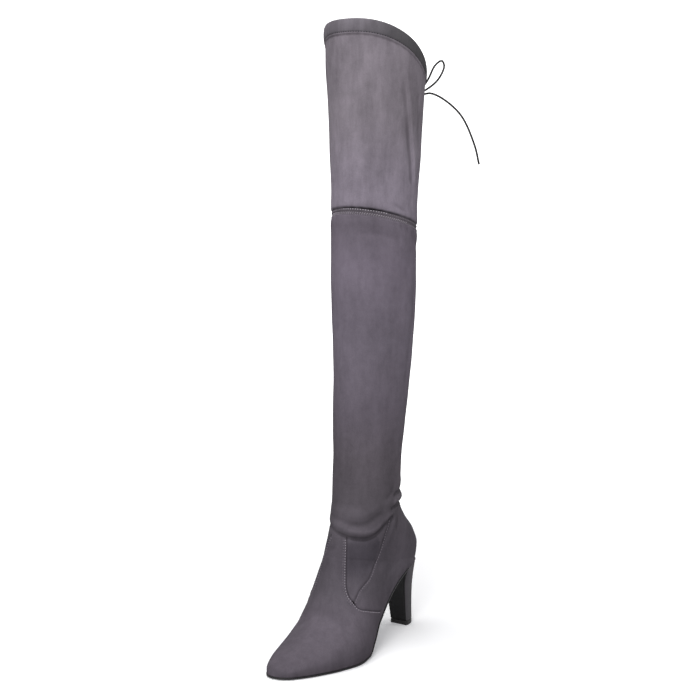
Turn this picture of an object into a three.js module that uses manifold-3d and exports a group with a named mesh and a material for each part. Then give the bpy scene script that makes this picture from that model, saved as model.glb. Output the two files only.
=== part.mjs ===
// A left over-the-knee boot with a slim block heel, in stretch suede, standing empty on its sole.
// Millimetres, +Z up. The toe points to -Y, the outer side of the foot is +X, and the origin is the
// centre of the heel's tread on the floor.
import * as THREE from "three";
import { mergeVertices } from "three/addons/utils/BufferGeometryUtils.js";
import Module from "manifold-3d";

const wasm = await Module();
wasm.setup();

// Foot and heel
const lastLength = 226; // toe tip to back of heel, seen from above
const heelBack = 2; // how far the back of the seat stands behind the tread's centre
const ballWidth = 84; // across the joints, outside the upper
const heelHeight = 78; // floor to the last at the back of the seat
const toeSpring = 0.6;
const toeLean = 5; // how far the toe tip leans to the inner side
const instepHeight = 104; // floor to the top of the instep, above the heel seat
const treadWidth = 22;
const treadDepth = 20;
const treadThickness = 5;
const breastY = -32; // front of the heel at the seat

// Shaft. Heights are in front, and the girths go round the outside
const ankleTop = 152;
const kneeHeight = 454;
const kneeDrop = 22; // how much lower the knee seam is behind
const bootHeight = 637;
const collarDrop = 57; // how much lower the collar is behind
const cuffHeight = 14; // collar edge down to the cuff's stitched edge
const ankleGirth = 229;
const calfGirth = 283;
const kneeGirth = 281;
const collarGirth = 328;
const shaftSetback = 60; // centre of the shaft in front of the tread's centre

// Walls, sheets and clearances
const wallThickness = 1.6;
const cuffProud = 1;
const soleThickness = 2;
const soleMargin = 0.6; // how far the sole shows beyond the upper's lower edge
const soleClear = 1.6; // the sole stops this far in front of the heel
const insoleThickness = 2.4;
const touchGap = 0.3;
const tieRadius = 1.1;
const eyeletRadius = 1.9;
const eyeletSpread = 14; // between the two holes the tie leaves the cuff by
const insoleSlack = 2.2; // between the insole and the wall

// Facets
const pointsAround = 32;
const footFacet = 8;
const seatFacet = 3;
const shaftFacet = 34;
const heelLevels = 10;

const toeY = heelBack - lastLength;
const footLevel = soleThickness + touchGap;
const mix = THREE.MathUtils.lerp;

// Sections of the foot, from the toe tip to the back of the heel seat. Each is a flat cut that
// stands on the sole at "along" and crosses the top of the foot at "over". Shares: along and over of
// lastLength, spring of toeSpring, rise of the heel's lift, ridge of the instep's lift, outer and
// inner (half-widths) of ballWidth, lean of toeLean. hugOuter and hugInner are the share of that
// half-width left at the sole, widest is how far up the cut it is widest, and cup how squarely the
// lower part rounds.
const footColumns = [
  ["along", "over", "spring", "rise", "ridge", "outer", "inner"],
  ["hugOuter", "hugInner", "lean", "widest", "cup"],
].flat();
const footTable = {
  toeTip: [0, 0, 1, 0, 0, 0, 0, 0.94, 0.94, 1, 0.3, 1],
  toeFront: [0.006, 0.012, 0.97, 0, 0.067, 0.09, 0.08, 0.94, 0.94, 1, 0.32, 1],
  toeRound: [0.03, 0.04, 0.85, 0, 0.11, 0.196, 0.16, 0.94, 0.935, 0.96, 0.33, 1],
  toeBox: [0.08, 0.095, 0.6, 0, 0.185, 0.295, 0.235, 0.935, 0.93, 0.82, 0.33, 1],
  toeCrease: [0.155, 0.175, 0.3, 0, 0.257, 0.393, 0.315, 0.93, 0.9, 0.55, 0.3, 1],
  foreJoint: [0.25, 0.26, 0, 0, 0.33, 0.478, 0.405, 0.935, 0.9, 0.25, 0.28, 1],
  joint: [0.36, 0.323, 0, 0, 0.42, 0.53, 0.472, 0.94, 0.87, 0.04, 0.28, 1],
  vampBack: [0.443, 0.336, 0, 0.025, 0.51, 0.518, 0.475, 0.92, 0.79, 0, 0.31, 1],
  vamp: [0.525, 0.351, 0, 0.15, 0.593, 0.474, 0.452, 0.85, 0.66, 0, 0.37, 1],
  waist: [0.607, 0.364, 0, 0.37, 0.682, 0.425, 0.425, 0.79, 0.57, 0, 0.42, 1],
  arch: [0.69, 0.371, 0, 0.62, 0.762, 0.4, 0.402, 0.8, 0.62, 0, 0.46, 1.05],
  throat: [0.772, 0.379, 0, 0.815, 0.841, 0.384, 0.386, 0.84, 0.74, 0, 0.48, 1.15],
  seatSide: [0.863, 0.386, 0, 0.945, 0.911, 0.374, 0.374, 0.87, 0.83, 0, 0.5, 1.3],
  seatCorner: [0.93, 0.393, 0, 0.98, 0.96, 0.372, 0.372, 0.75, 0.74, 0, 0.52, 1.4],
  seatRound: [0.975, 0.398, 0, 0.993, 0.98, 0.374, 0.374, 0.42, 0.42, 0, 0.54, 1.45],
  seatBack: [0.991, 0.402, 0, 1, 1, 0.376, 0.376, 0, 0, 0, 0.56, 1.5],
};

// Level rings of the counter up to the ankle, with no opening below. up: share of the way from the
// heel's height to ankleTop behind, and from the instep's height in front. taper: how much the ring
// narrows towards the tendon.
const counterColumns =
  ["along", "over", "upBack", "upFront", "outer", "inner", "widest", "taper", "cup"];
const counterTable = {
  counterBulge: [1.003, 0.425, 0.2, 0.21, 0.382, 0.382, 0.56, 0.02, 1.5],
  counterTop: [0.964, 0.449, 0.45, 0.42, 0.386, 0.386, 0.55, 0.06, 1.45],
  tendon: [0.892, 0.472, 0.69, 0.63, 0.392, 0.392, 0.54, 0.1, 1.3],
  slump: [0.853, 0.488, 0.87, 0.83, 0.402, 0.402, 0.52, 0.12, 1.1],
};

// Sections of the shaft. leg and thigh are shares of the way from ankleTop to the knee seam and from
// there to the cuff, cuff of the cuff's own height. deep: depth over width. forward: share of
// shaftSetback. proud: share of cuffProud. dome: above 1 the edge stays high in front and drops late.
const shaftColumns = ["leg", "thigh", "cuff", "girth", "deep", "forward", "taper", "proud", "dome"];
const shaftTable = {
  ankle: [0, 0, 0, ankleGirth, 1.12, 0.215, 0.1, 0, 1],
  shin: [0.16, 0, 0, 1.01 * ankleGirth, 1.12, 0.18, 0.04, 0, 1],
  calfBase: [0.27, 0, 0, 0.85 * calfGirth, 1.12, 0.135, 0.02, 0, 1],
  lowCalf: [0.5, 0, 0, 0.93 * calfGirth, 1.12, 0.04, 0, 0, 1],
  calf: [0.76, 0, 0, calfGirth, 1.12, 0.02, 0, 0, 1],
  kneeRoll: [0.955, 0, 0, kneeGirth, 1.12, 0.015, 0, 0.3, 1],
  kneeBelow: [0.98, 0, 0, kneeGirth, 1.12, 0.01, 0, -0.3, 1],
  kneeSeam: [1, 0, 0, kneeGirth, 1.12, 0.01, 0, -1.6, 1],
  kneeAbove: [1, 0.035, 0, kneeGirth, 1.12, 0.01, 0, 0.6, 1],
  lowThigh: [1, 0.12, 0, 1.01 * kneeGirth, 1.12, 0.01, 0, 0.6, 1],
  thigh: [1, 0.52, 0, 0.93 * collarGirth, 1.12, 0, 0, 0, 1.1],
  highThigh: [1, 0.88, 0, 0.985 * collarGirth, 1.12, 0, 0, 0, 1.38],
  cuffBelow: [1, 0.995, 0, 0.995 * collarGirth, 1.12, 0, 0, 0, 1.42],
  cuffEdge: [1, 1, 0.06, 0.995 * collarGirth, 1.12, 0, 0, 1, 1.42],
  collar: [1, 1, 1, collarGirth, 1.12, 0, 0, 1, 1.42],
};

const named = (columns, table) =>
  Object.values(table).map((row) => Object.fromEntries(columns.map((column, i) => [column, row[i]])));

const footRows = named(footColumns, footTable).map((row) => {
  const base = footLevel + row.spring * toeSpring;
  return {
    backY: toeY + row.along * lastLength,
    backZ: base + row.rise * (heelHeight - footLevel),
    frontY: toeY + row.over * lastLength,
    frontZ: base + row.ridge * (instepHeight - footLevel),
    outer: row.outer * ballWidth,
    inner: row.inner * ballWidth,
    hemOuter: -Math.acos(row.hugOuter),
    hemInner: -Math.acos(row.hugInner),
    middle: -row.lean * toeLean,
    widest: row.widest,
    cup: row.cup,
    taper: 0,
    proud: 0,
    dome: 1,
  };
});

const closedRing = { hemOuter: -Math.PI / 2, hemInner: -Math.PI / 2, middle: 0 };

const counterRows = named(counterColumns, counterTable).map((row) => ({
  ...closedRing,
  backY: toeY + row.along * lastLength,
  backZ: mix(heelHeight, ankleTop, row.upBack),
  frontY: toeY + row.over * lastLength,
  frontZ: mix(instepHeight, ankleTop, row.upFront),
  outer: row.outer * ballWidth,
  inner: row.inner * ballWidth,
  widest: row.widest,
  cup: row.cup,
  taper: row.taper,
  proud: 0,
  dome: 1,
}));

const shaftRows = named(shaftColumns, shaftTable).map((row) => {
  const radius = row.girth / (2 * Math.PI);
  const half = (2 * radius) / (1 + row.deep);
  const centre = -shaftSetback * (1 + row.forward);
  const height =
    mix(ankleTop, kneeHeight, row.leg) +
    row.thigh * (bootHeight - cuffHeight - kneeHeight) +
    row.cuff * cuffHeight;
  const drop = kneeDrop * row.leg ** 2 + (collarDrop - kneeDrop) * row.thigh;
  return {
    ...closedRing,
    backY: centre + half * row.deep,
    backZ: height - drop,
    frontY: centre - half * row.deep,
    frontZ: height,
    outer: half,
    inner: half,
    widest: 0.5,
    cup: 1,
    taper: row.taper,
    proud: row.proud * cuffProud,
    dome: row.dome,
  };
});

const rows = [...footRows, ...counterRows, ...shaftRows];
const seatRow = footRows.length - 1;
const kneeRow = footRows.length + counterRows.length + Object.keys(shaftTable).indexOf("kneeSeam");

// A smooth curve through a column's values that never swings past them
function smooth(values) {
  const steps = values.slice(1).map((value, i) => value - values[i]);
  const slope = values.map((_, i) => {
    if (i === 0) return steps[0];
    if (i === steps.length) return steps[i - 1];
    const [before, after] = [steps[i - 1], steps[i]];
    return before * after > 0 ? (2 * before * after) / (before + after) : 0;
  });
  return (s) => {
    const i = Math.min(Math.max(Math.floor(s), 0), steps.length - 1);
    const u = s - i;
    const bend = u * u * (3 - 2 * u);
    return (
      mix(values[i], values[i + 1], bend) +
      u * (1 - u) * ((1 - u) * slope[i] - u * slope[i + 1])
    );
  };
}

// The sole's own columns stop at the back of the seat, where the counter starts a line of its own
const soleColumns = ["backY", "backZ", "hemOuter", "hemInner"];
const curves = {};
for (const column of Object.keys(rows[0])) {
  const whole = smooth(rows.map((row) => row[column]));
  const sole = smooth(footRows.map((row) => row[column]));
  const above = smooth(rows.slice(seatRow).map((row) => row[column]));
  const split = (s) => (s <= seatRow ? sole(s) : above(s - seatRow));
  curves[column] = soleColumns.includes(column) ? split : whole;
  curves[column + "Eased"] = whole;
}

const sectionAt = (s) =>
  Object.fromEntries(Object.entries(curves).map(([column, curve]) => [column, curve(s)]));

// Soft folds round the ankle. front, back: heights on the middle line. spread: half its height.
// proud: how far it stands out, where less than 0 is a trough. Shares of ankleTop and cuffProud.
const foldColumns = ["front", "back", "spread", "proud"];
const folds = named(foldColumns, {
  slumpRoll: [0.86, 0.99, 0.055, 1.8],
  slumpCrease: [0.79, 0.925, 0.03, -1.2],
});

function foldRelief(point) {
  const behind = THREE.MathUtils.smoothstep(point.y, rows[seatRow].frontY, heelBack);
  let relief = 0;
  for (const fold of folds) {
    const centre = mix(fold.front, fold.back, behind) * ankleTop;
    const away = (point.z - centre) / (fold.spread * ankleTop);
    relief += fold.proud * cuffProud * Math.exp(-away * away);
  }
  return relief;
}

// A point of the upper's form. s runs along the rows and t once round, from the back or the outer
// edge at the sole (0), over the top or front (0.5), to the inner edge (1).
function formPoint(s, t) {
  const at = sectionAt(s);
  const turn = mix(at.hemOuter, Math.PI - at.hemInner, t);
  const [side, up] = [Math.cos(turn), Math.sin(turn)];
  const hem = side > 0 ? at.hemOuter : at.hemInner;
  const low = Math.max(1 + up / Math.sin(-hem), 0) ** at.cup;
  const share = up < 0 ? at.widest * low : mix(at.widest, 1, up);
  const narrowing = up < 0 ? 1 - at.taper * up * up : 1;
  const eased = THREE.MathUtils.smoothstep(share, 0, 0.15);
  const backY = mix(at.backY, at.backYEased, eased);
  const backZ = mix(at.backZ, at.backZEased, eased);
  return new THREE.Vector3(
    at.middle + (side > 0 ? at.outer : at.inner) * side * narrowing,
    mix(backY, at.frontY, share),
    mix(at.frontZ, backZ, (1 - share) ** at.dome),
  );
}

// Which way the sole runs at a place, seen from the side, towards the heel
function alongSole(s) {
  const h = 1e-3;
  const [from, to] = [Math.max(s - h, 0), Math.min(s + h, seatRow)];
  const [y, z] = [curves.backY, curves.backZ].map((curve) => curve(to) - curve(from));
  return new THREE.Vector3(0, y, z).normalize();
}

// Which way the form faces at a point. Its lower edge faces along the sole, so that the wall stands
// square on it.
function formNormal(s, t) {
  const h = 1e-3;
  if (s === 0) return alongSole(0).negate();
  if (s === seatRow && (t === 0 || t === 1)) return alongSole(s);
  const last = rows.length - 1;
  const along = formPoint(Math.min(s + h, last), t).sub(formPoint(s - h, t));
  const round = formPoint(s, Math.min(t + h, 1)).sub(formPoint(s, Math.max(t - h, 0)));
  const edge = t === 0 || t === 1;
  if (edge && s < seatRow) {
    const sole = alongSole(s);
    const side = t === 0 ? 1 : -1;
    const outwards = new THREE.Vector3(side * along.dot(sole), 0, 0);
    return outwards.addScaledVector(sole, -side * along.x).normalize();
  }
  const normal = along.cross(round);
  if (edge) normal.x = 0;
  return normal.normalize();
}

function surfacePoint(s, t, inward) {
  const point = formPoint(s, t);
  const relief = sectionAt(s).proud + foldRelief(point);
  return point.addScaledVector(formNormal(s, t), relief - inward);
}

// Ring places along the rows, closer where the form turns
const ringPlaces = [0];
for (let i = 1; i < rows.length; i += 1) {
  const foot = i > seatRow - 2 && i <= seatRow ? seatFacet : footFacet;
  const facet = i <= seatRow + counterRows.length + 1 ? foot : shaftFacet;
  const [a, b] = [rows[i - 1], rows[i]];
  const travel = Math.max(
    Math.hypot(b.backY - a.backY, b.backZ - a.backZ),
    Math.hypot(b.frontY - a.frontY, b.frontZ - a.frontZ),
  );
  const steps = Math.max(1, Math.round(travel / facet));
  for (let k = 1; k <= steps; k += 1) ringPlaces.push(i - 1 + k / steps);
}

// A closed mesh from a list of rings of equal length. Each ring is a closed loop of points.
function loft(rings) {
  const count = rings[0].length;
  const index = [];
  const corner = (i, j) => i * count + (j % count);
  for (let i = 0; i + 1 < rings.length; i += 1) {
    for (let j = 0; j < count; j += 1) {
      const [a, b, c, d] = [corner(i, j), corner(i, j + 1), corner(i + 1, j + 1), corner(i + 1, j)];
      index.push(a, b, c, a, c, d);
    }
  }
  for (let j = 1; j + 1 < count; j += 1) {
    index.push(corner(0, 0), corner(0, j + 1), corner(0, j));
    const end = rings.length - 1;
    index.push(corner(end, 0), corner(end, j), corner(end, j + 1));
  }
  return meshOf(rings.flat(), index);
}

// Points and triangles as a geometry with shared corners, and no triangle that has no area
function meshOf(points, index) {
  const geometry = new THREE.BufferGeometry().setFromPoints(points);
  geometry.setIndex(index);
  const merged = mergeVertices(geometry, 1e-4);
  const kept = [];
  for (let i = 0; i < merged.index.count; i += 3) {
    const [a, b, c] = [0, 1, 2].map((k) => merged.index.getX(i + k));
    if (a !== b && b !== c && c !== a) kept.push(a, b, c);
  }
  merged.setIndex(kept);
  return merged;
}

function toSolid(geometry) {
  return new wasm.Manifold(
    new wasm.Mesh({
      numProp: 3,
      vertProperties: geometry.attributes.position.array,
      triVerts: new Uint32Array(geometry.index.array),
    }),
  );
}

function toGeometry(solid) {
  const mesh = solid.getMesh();
  const geometry = new THREE.BufferGeometry();
  geometry.setAttribute("position", new THREE.BufferAttribute(mesh.vertProperties, 3));
  geometry.setIndex(new THREE.BufferAttribute(mesh.triVerts, 1));
  return geometry;
}

const boot = new THREE.Group();

function addPiece(name, geometry, material) {
  geometry.computeVertexNormals();
  const mesh = new THREE.Mesh(geometry, material);
  mesh.name = name;
  boot.add(mesh);
}

const suede = new THREE.MeshStandardMaterial({ color: 0x6a646c, roughness: 0.95, metalness: 0 });
const sheet = new THREE.MeshStandardMaterial({ color: 0x1d1b1e, roughness: 0.6, metalness: 0 });
const lining = new THREE.MeshStandardMaterial({ color: 0x4b474c, roughness: 0.9, metalness: 0 });
const waxedCord = new THREE.MeshStandardMaterial({ color: 0x201f21, roughness: 0.7, metalness: 0 });

// The upper: one hollow wall, open at the collar and all along the sole
function upperWall() {
  const [points, index] = [[], []];
  const count = pointsAround + 1;
  for (const inward of [0, wallThickness]) {
    for (const s of ringPlaces) {
      for (let j = 0; j < count; j += 1) points.push(surfacePoint(s, j / pointsAround, inward));
    }
  }
  const insideFrom = ringPlaces.length * count;
  const corner = (side, i, j) => side * insideFrom + i * count + j;
  const quad = (a, b, c, d) => index.push(a, c, b, a, d, c);
  const lastRing = ringPlaces.length - 1;
  for (let i = 0; i < lastRing; i += 1) {
    for (let j = 0; j < pointsAround; j += 1) {
      quad(corner(0, i, j), corner(0, i, j + 1), corner(0, i + 1, j + 1), corner(0, i + 1, j));
      quad(corner(1, i, j), corner(1, i + 1, j), corner(1, i + 1, j + 1), corner(1, i, j + 1));
    }
    if (ringPlaces[i] < seatRow) {
      quad(corner(0, i, 0), corner(0, i + 1, 0), corner(1, i + 1, 0), corner(1, i, 0));
      const j = pointsAround;
      quad(corner(0, i, j), corner(1, i, j), corner(1, i + 1, j), corner(0, i + 1, j));
    }
  }
  for (let j = 0; j < pointsAround; j += 1) {
    quad(
      corner(0, lastRing, j),
      corner(0, lastRing, j + 1),
      corner(1, lastRing, j + 1),
      corner(1, lastRing, j),
    );
  }
  return meshOf(points, index);
}

// The tie's knot stands off the back of the cuff, a little to the outer side
const cuffBack = rows[rows.length - 1];
const cuffMiddle = cuffBack.backZ - cuffHeight / 2;
const knotAt = new THREE.Vector3(9, cuffBack.backY + 9.4, cuffMiddle + 3);
const knotSize = new THREE.Vector3(5.4, 3.6, 5.2); // half-widths of the room the knot takes up

function upperWithEyelets() {
  let solid = toSolid(upperWall());
  for (const side of [-1, 1]) {
    const hole = wasm.Manifold.cylinder(24, eyeletRadius, eyeletRadius, 16)
      .rotate([-90, 0, 0])
      .translate([knotAt.x + (side * eyeletSpread) / 2, cuffBack.backY - 16, cuffMiddle]);
    solid = solid.subtract(hole);
  }
  return toGeometry(solid);
}
addPiece("upper", upperWithEyelets(), suede);

// A point of the sole's outline, moved out by margin and up by raised
function hemPoint(s, t, margin, raised) {
  const up = new THREE.Vector3(1, 0, 0).cross(alongSole(s));
  return formPoint(s, t).addScaledVector(formNormal(s, t), margin).addScaledVector(up, raised);
}

// Where along the rows the foot's sole has come back to a given y
function placeOf(y) {
  let [low, high] = [0, seatRow];
  for (let i = 0; i < 40; i += 1) {
    const half = (low + high) / 2;
    if (curves.backY(half) < y) low = half;
    else high = half;
  }
  return low;
}

// A sheet between two heights above the upper's lower edge, over a run of the sole
function soleSheet(places, margin, bottom, top) {
  const outline = (s) => [
    hemPoint(s, 0, margin, top),
    hemPoint(s, 0, margin, bottom),
    hemPoint(s, 1, margin, bottom),
    hemPoint(s, 1, margin, top),
  ];
  return loft(places.map(outline));
}

const breastPlace = placeOf(breastY);
const soleEnd = placeOf(breastY - soleClear);
const footPlaces = ringPlaces.filter((s) => s <= seatRow);
const solePlaces = [...footPlaces.filter((s) => s < soleEnd - 0.02), soleEnd];
addPiece(
  "outsole",
  soleSheet(solePlaces, soleMargin, -touchGap - soleThickness, -touchGap),
  sheet,
);

const insoleInset = wallThickness + insoleSlack;
const insoleTop = touchGap + insoleThickness;
addPiece("insole", soleSheet(footPlaces, -insoleInset, touchGap, insoleTop), lining);

// The heel: the seat's outline at the top, drawn in towards the tread further down
const seatPlaces = [breastPlace, ...footPlaces.filter((s) => s > breastPlace + 0.02)];
const heelStations = seatPlaces.length - 1;
const seatEdge = [
  ...seatPlaces.map((s) => hemPoint(s, 0, 0, -touchGap)),
  ...seatPlaces.slice(0, -1).reverse().map((s) => hemPoint(s, 1, 0, -touchGap)),
];
const seatBackY = seatEdge[heelStations].y;
const seatFrontY = seatEdge[0].y;
const seatHalf = Math.max(...seatEdge.map((point) => point.x));
const heelFloor = treadThickness + touchGap;

const heelColumns = ["up", "half", "front", "back"];
const heelRows = named(heelColumns, {
  bottom: [0, treadWidth / 2, treadDepth / 2, treadDepth / 2],
  low: [0.26, 0.55 * treadWidth, 0.66 * treadDepth, 0.44 * treadDepth],
  middle: [0.5, 0.65 * treadWidth, 0.88 * treadDepth, 0.38 * treadDepth],
  flare: [0.7, 0.83 * treadWidth, 1.18 * treadDepth, 0.31 * treadDepth],
  underSeat: [0.88, 1.05 * treadWidth, 1.4 * treadDepth, 0.18 * treadDepth],
  seat: [1, seatHalf, -seatFrontY, seatBackY],
});
const heelCurves = {};
for (const column of heelColumns) heelCurves[column] = smooth(heelRows.map((row) => row[column]));

function heelRing(k, level) {
  const up = level === undefined ? heelCurves.up(k) : 0;
  return seatEdge.map((edge) => {
    const share = (edge.y - seatFrontY) / (seatBackY - seatFrontY);
    return new THREE.Vector3(
      (edge.x / seatHalf) * heelCurves.half(k),
      mix(-heelCurves.front(k), heelCurves.back(k), share),
      level ?? mix(heelFloor, edge.z, up),
    );
  });
}

// A closed mesh between rings that are the same left and right, capped straight across
function acrossLoft(rings) {
  const count = rings[0].length;
  const index = [];
  const corner = (i, j) => i * count + (j % count);
  for (let i = 0; i + 1 < rings.length; i += 1) {
    for (let j = 0; j < count; j += 1) {
      const [a, b, c, d] = [corner(i, j), corner(i, j + 1), corner(i + 1, j + 1), corner(i + 1, j)];
      index.push(a, b, c, a, c, d);
    }
  }
  const end = rings.length - 1;
  for (let j = 0; j < (count - 1) / 2; j += 1) {
    const [left, leftNext] = [count - 1 - j, count - 2 - j];
    index.push(corner(0, j), corner(0, leftNext), corner(0, j + 1));
    index.push(corner(0, j), corner(0, left), corner(0, leftNext));
    index.push(corner(end, j), corner(end, j + 1), corner(end, leftNext));
    index.push(corner(end, j), corner(end, leftNext), corner(end, left));
  }
  return meshOf(rings.flat(), index);
}

const heelPlaces = [];
for (let k = 0; k <= heelLevels; k += 1) heelPlaces.push((k / heelLevels) * (heelRows.length - 1));
addPiece("heel", acrossLoft(heelPlaces.map((k) => heelRing(k))), suede);
addPiece("heel_tread", acrossLoft([heelRing(0, 0), heelRing(0, treadThickness)]), sheet);

// The tie, in offsets from the knot. The inner half mirrors the outer one. Each run starts inside the
// knot and is cut off where it comes out.
const tiePaths = {
  loop: {
    starts: [2, 0.7, 1.3],
    leaves: [5, 1.6, 3.3],
    rises: [12, 3.7, 13],
    crownStart: [19, 5.8, 27],
    crown: [26, 7.9, 31.8],
    crownEnd: [28.6, 8.6, 26],
    falls: [21.5, 6.6, 11.4],
    returns: [6, 1.9, 0.4],
    finishes: [2, 0.7, 0.2],
  },
  end: {
    starts: [2, 0.4, -1.2],
    leaves: [5, 1, -2.9],
    lifts: [14, 4.3, -1.5],
    bends: [28, 8.5, -8],
    hangs: [47, 14, -26],
    lower: [61, 18.2, -57],
    tip: [65.5, 19.8, -76],
  },
};

function tube(points, segments) {
  const curve = new THREE.CatmullRomCurve3(points);
  const frames = curve.computeFrenetFrames(segments);
  const rings = [];
  for (let i = 0; i <= segments; i += 1) {
    const centre = curve.getPointAt(i / segments);
    const ring = [];
    for (let j = 0; j < 6; j += 1) {
      const turn = (j * Math.PI) / 3;
      ring.push(
        centre
          .clone()
          .addScaledVector(frames.normals[i], tieRadius * Math.cos(turn))
          .addScaledVector(frames.binormals[i], tieRadius * Math.sin(turn)),
      );
    }
    rings.push(ring);
  }
  return loft(rings);
}

function knotBall(size) {
  const ball = new THREE.IcosahedronGeometry(1, 2);
  ball.deleteAttribute("normal").deleteAttribute("uv");
  ball.scale(size.x, size.y, size.z);
  return mergeVertices(ball.translate(knotAt.x, knotAt.y, knotAt.z));
}
const knotRoom = toSolid(knotBall(knotSize));
const clearOfKnot = (geometry) => toGeometry(toSolid(geometry).subtract(knotRoom));

for (const [side, name] of [[1, "outer"], [-1, "inner"]]) {
  for (const [part, path] of Object.entries(tiePaths)) {
    const points = Object.values(path).map(([x, y, z]) => new THREE.Vector3(side * x, y, z).add(knotAt));
    addPiece(`tie_${part}_${name}`, clearOfKnot(tube(points, 20)), waxedCord);
  }
  const hole = knotAt.x + (side * eyeletSpread) / 2;
  const lead = [
    new THREE.Vector3(hole, cuffBack.backY - 7, cuffMiddle),
    new THREE.Vector3(hole, cuffBack.backY + 1, cuffMiddle),
    knotAt.clone().add(new THREE.Vector3(side * 3.4, -knotSize.y, -2)),
    knotAt.clone().add(new THREE.Vector3(side * 1.8, -1, -0.8)),
  ];
  addPiece(`tie_lead_${name}`, clearOfKnot(tube(lead, 8)), waxedCord);
}

addPiece("tie_knot", knotBall(knotSize.clone().subScalar(touchGap)), waxedCord);

export default boot;
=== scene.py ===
# A left over-the-knee boot with a slim block heel, in grey stretch suede, standing empty on a pale
# studio floor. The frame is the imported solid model, in metres, with +Z up. The toe points to -Y, the
# outer side of the foot is +X, and the origin is the centre of the heel's tread on the floor.
import math

import bmesh
import bpy
import numpy as np
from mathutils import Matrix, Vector
from mathutils.bvhtree import BVHTree


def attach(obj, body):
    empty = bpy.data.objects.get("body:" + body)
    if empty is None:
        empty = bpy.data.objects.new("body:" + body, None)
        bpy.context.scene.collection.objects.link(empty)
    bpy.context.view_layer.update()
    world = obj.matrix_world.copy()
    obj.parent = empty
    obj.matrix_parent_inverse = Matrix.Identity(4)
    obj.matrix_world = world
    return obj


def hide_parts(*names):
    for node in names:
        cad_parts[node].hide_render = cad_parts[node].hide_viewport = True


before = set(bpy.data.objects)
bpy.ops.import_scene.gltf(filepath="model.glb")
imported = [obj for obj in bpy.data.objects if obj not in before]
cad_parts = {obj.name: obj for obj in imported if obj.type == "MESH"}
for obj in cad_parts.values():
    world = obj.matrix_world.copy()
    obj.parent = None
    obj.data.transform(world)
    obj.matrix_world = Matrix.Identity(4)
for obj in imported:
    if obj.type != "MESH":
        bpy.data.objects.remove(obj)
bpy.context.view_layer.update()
MM = 0.001

# The camera stands in front of the boot on its outer side, at the height of the knee.


def linked(name, data):
    """A new object of the scene with this data."""
    made = bpy.data.objects.new(name, data)
    bpy.context.scene.collection.objects.link(made)
    return made


camera_data = bpy.data.cameras.new("camera")
camera_data.sensor_width = 36.0
camera_data.lens = 66.343
camera_data.clip_start = 0.02
camera = linked("camera", camera_data)
camera.location = (0.75279, -1.16610, 0.44327)
camera.rotation_euler = [math.radians(angle) for angle in (84.1609, -0.1765, 35.3216)]
bpy.context.scene.camera = camera

# The tie: a thin waxed round cord, braided, that runs inside the cuff and comes out behind through
# two eyelets. It is tied in a bow, with one loop and one end on each side of the knot.


class Wire:
    """A socket of a material that is used like a number. Each step of an expression adds a Math node."""

    def __init__(self, tree, socket):
        self.tree = tree
        self.socket = socket

    def _math(self, operation, *values):
        return Shader.math(self.tree, operation, *values)

    def __add__(self, other):
        return self._math("ADD", self, other)

    def __sub__(self, other):
        return self._math("SUBTRACT", self, other)

    def __rsub__(self, other):
        return self._math("SUBTRACT", other, self)

    def __mul__(self, other):
        return self._math("MULTIPLY", self, other)

    def __truediv__(self, other):
        return self._math("DIVIDE", self, other)

    def __neg__(self):
        return self._math("MULTIPLY", self, -1.0)

    __radd__ = __add__
    __rmul__ = __mul__

    def sin(self):
        return self._math("SINE", self)

    def clamp(self):
        return self._math("MINIMUM", self._math("MAXIMUM", self, 0.0), 1.0)

    def bell(self, width):
        """1 on the line and 0 away from it, where the wire is a distance."""
        scaled = self / width
        return self._math("POWER", math.e, -(scaled * scaled))

    def step(self, start, end):
        """0 before start, 1 after end, and smooth between them."""
        share = ((self - start) / (end - start)).clamp()
        return share * share * (3.0 - 2.0 * share)


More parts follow.
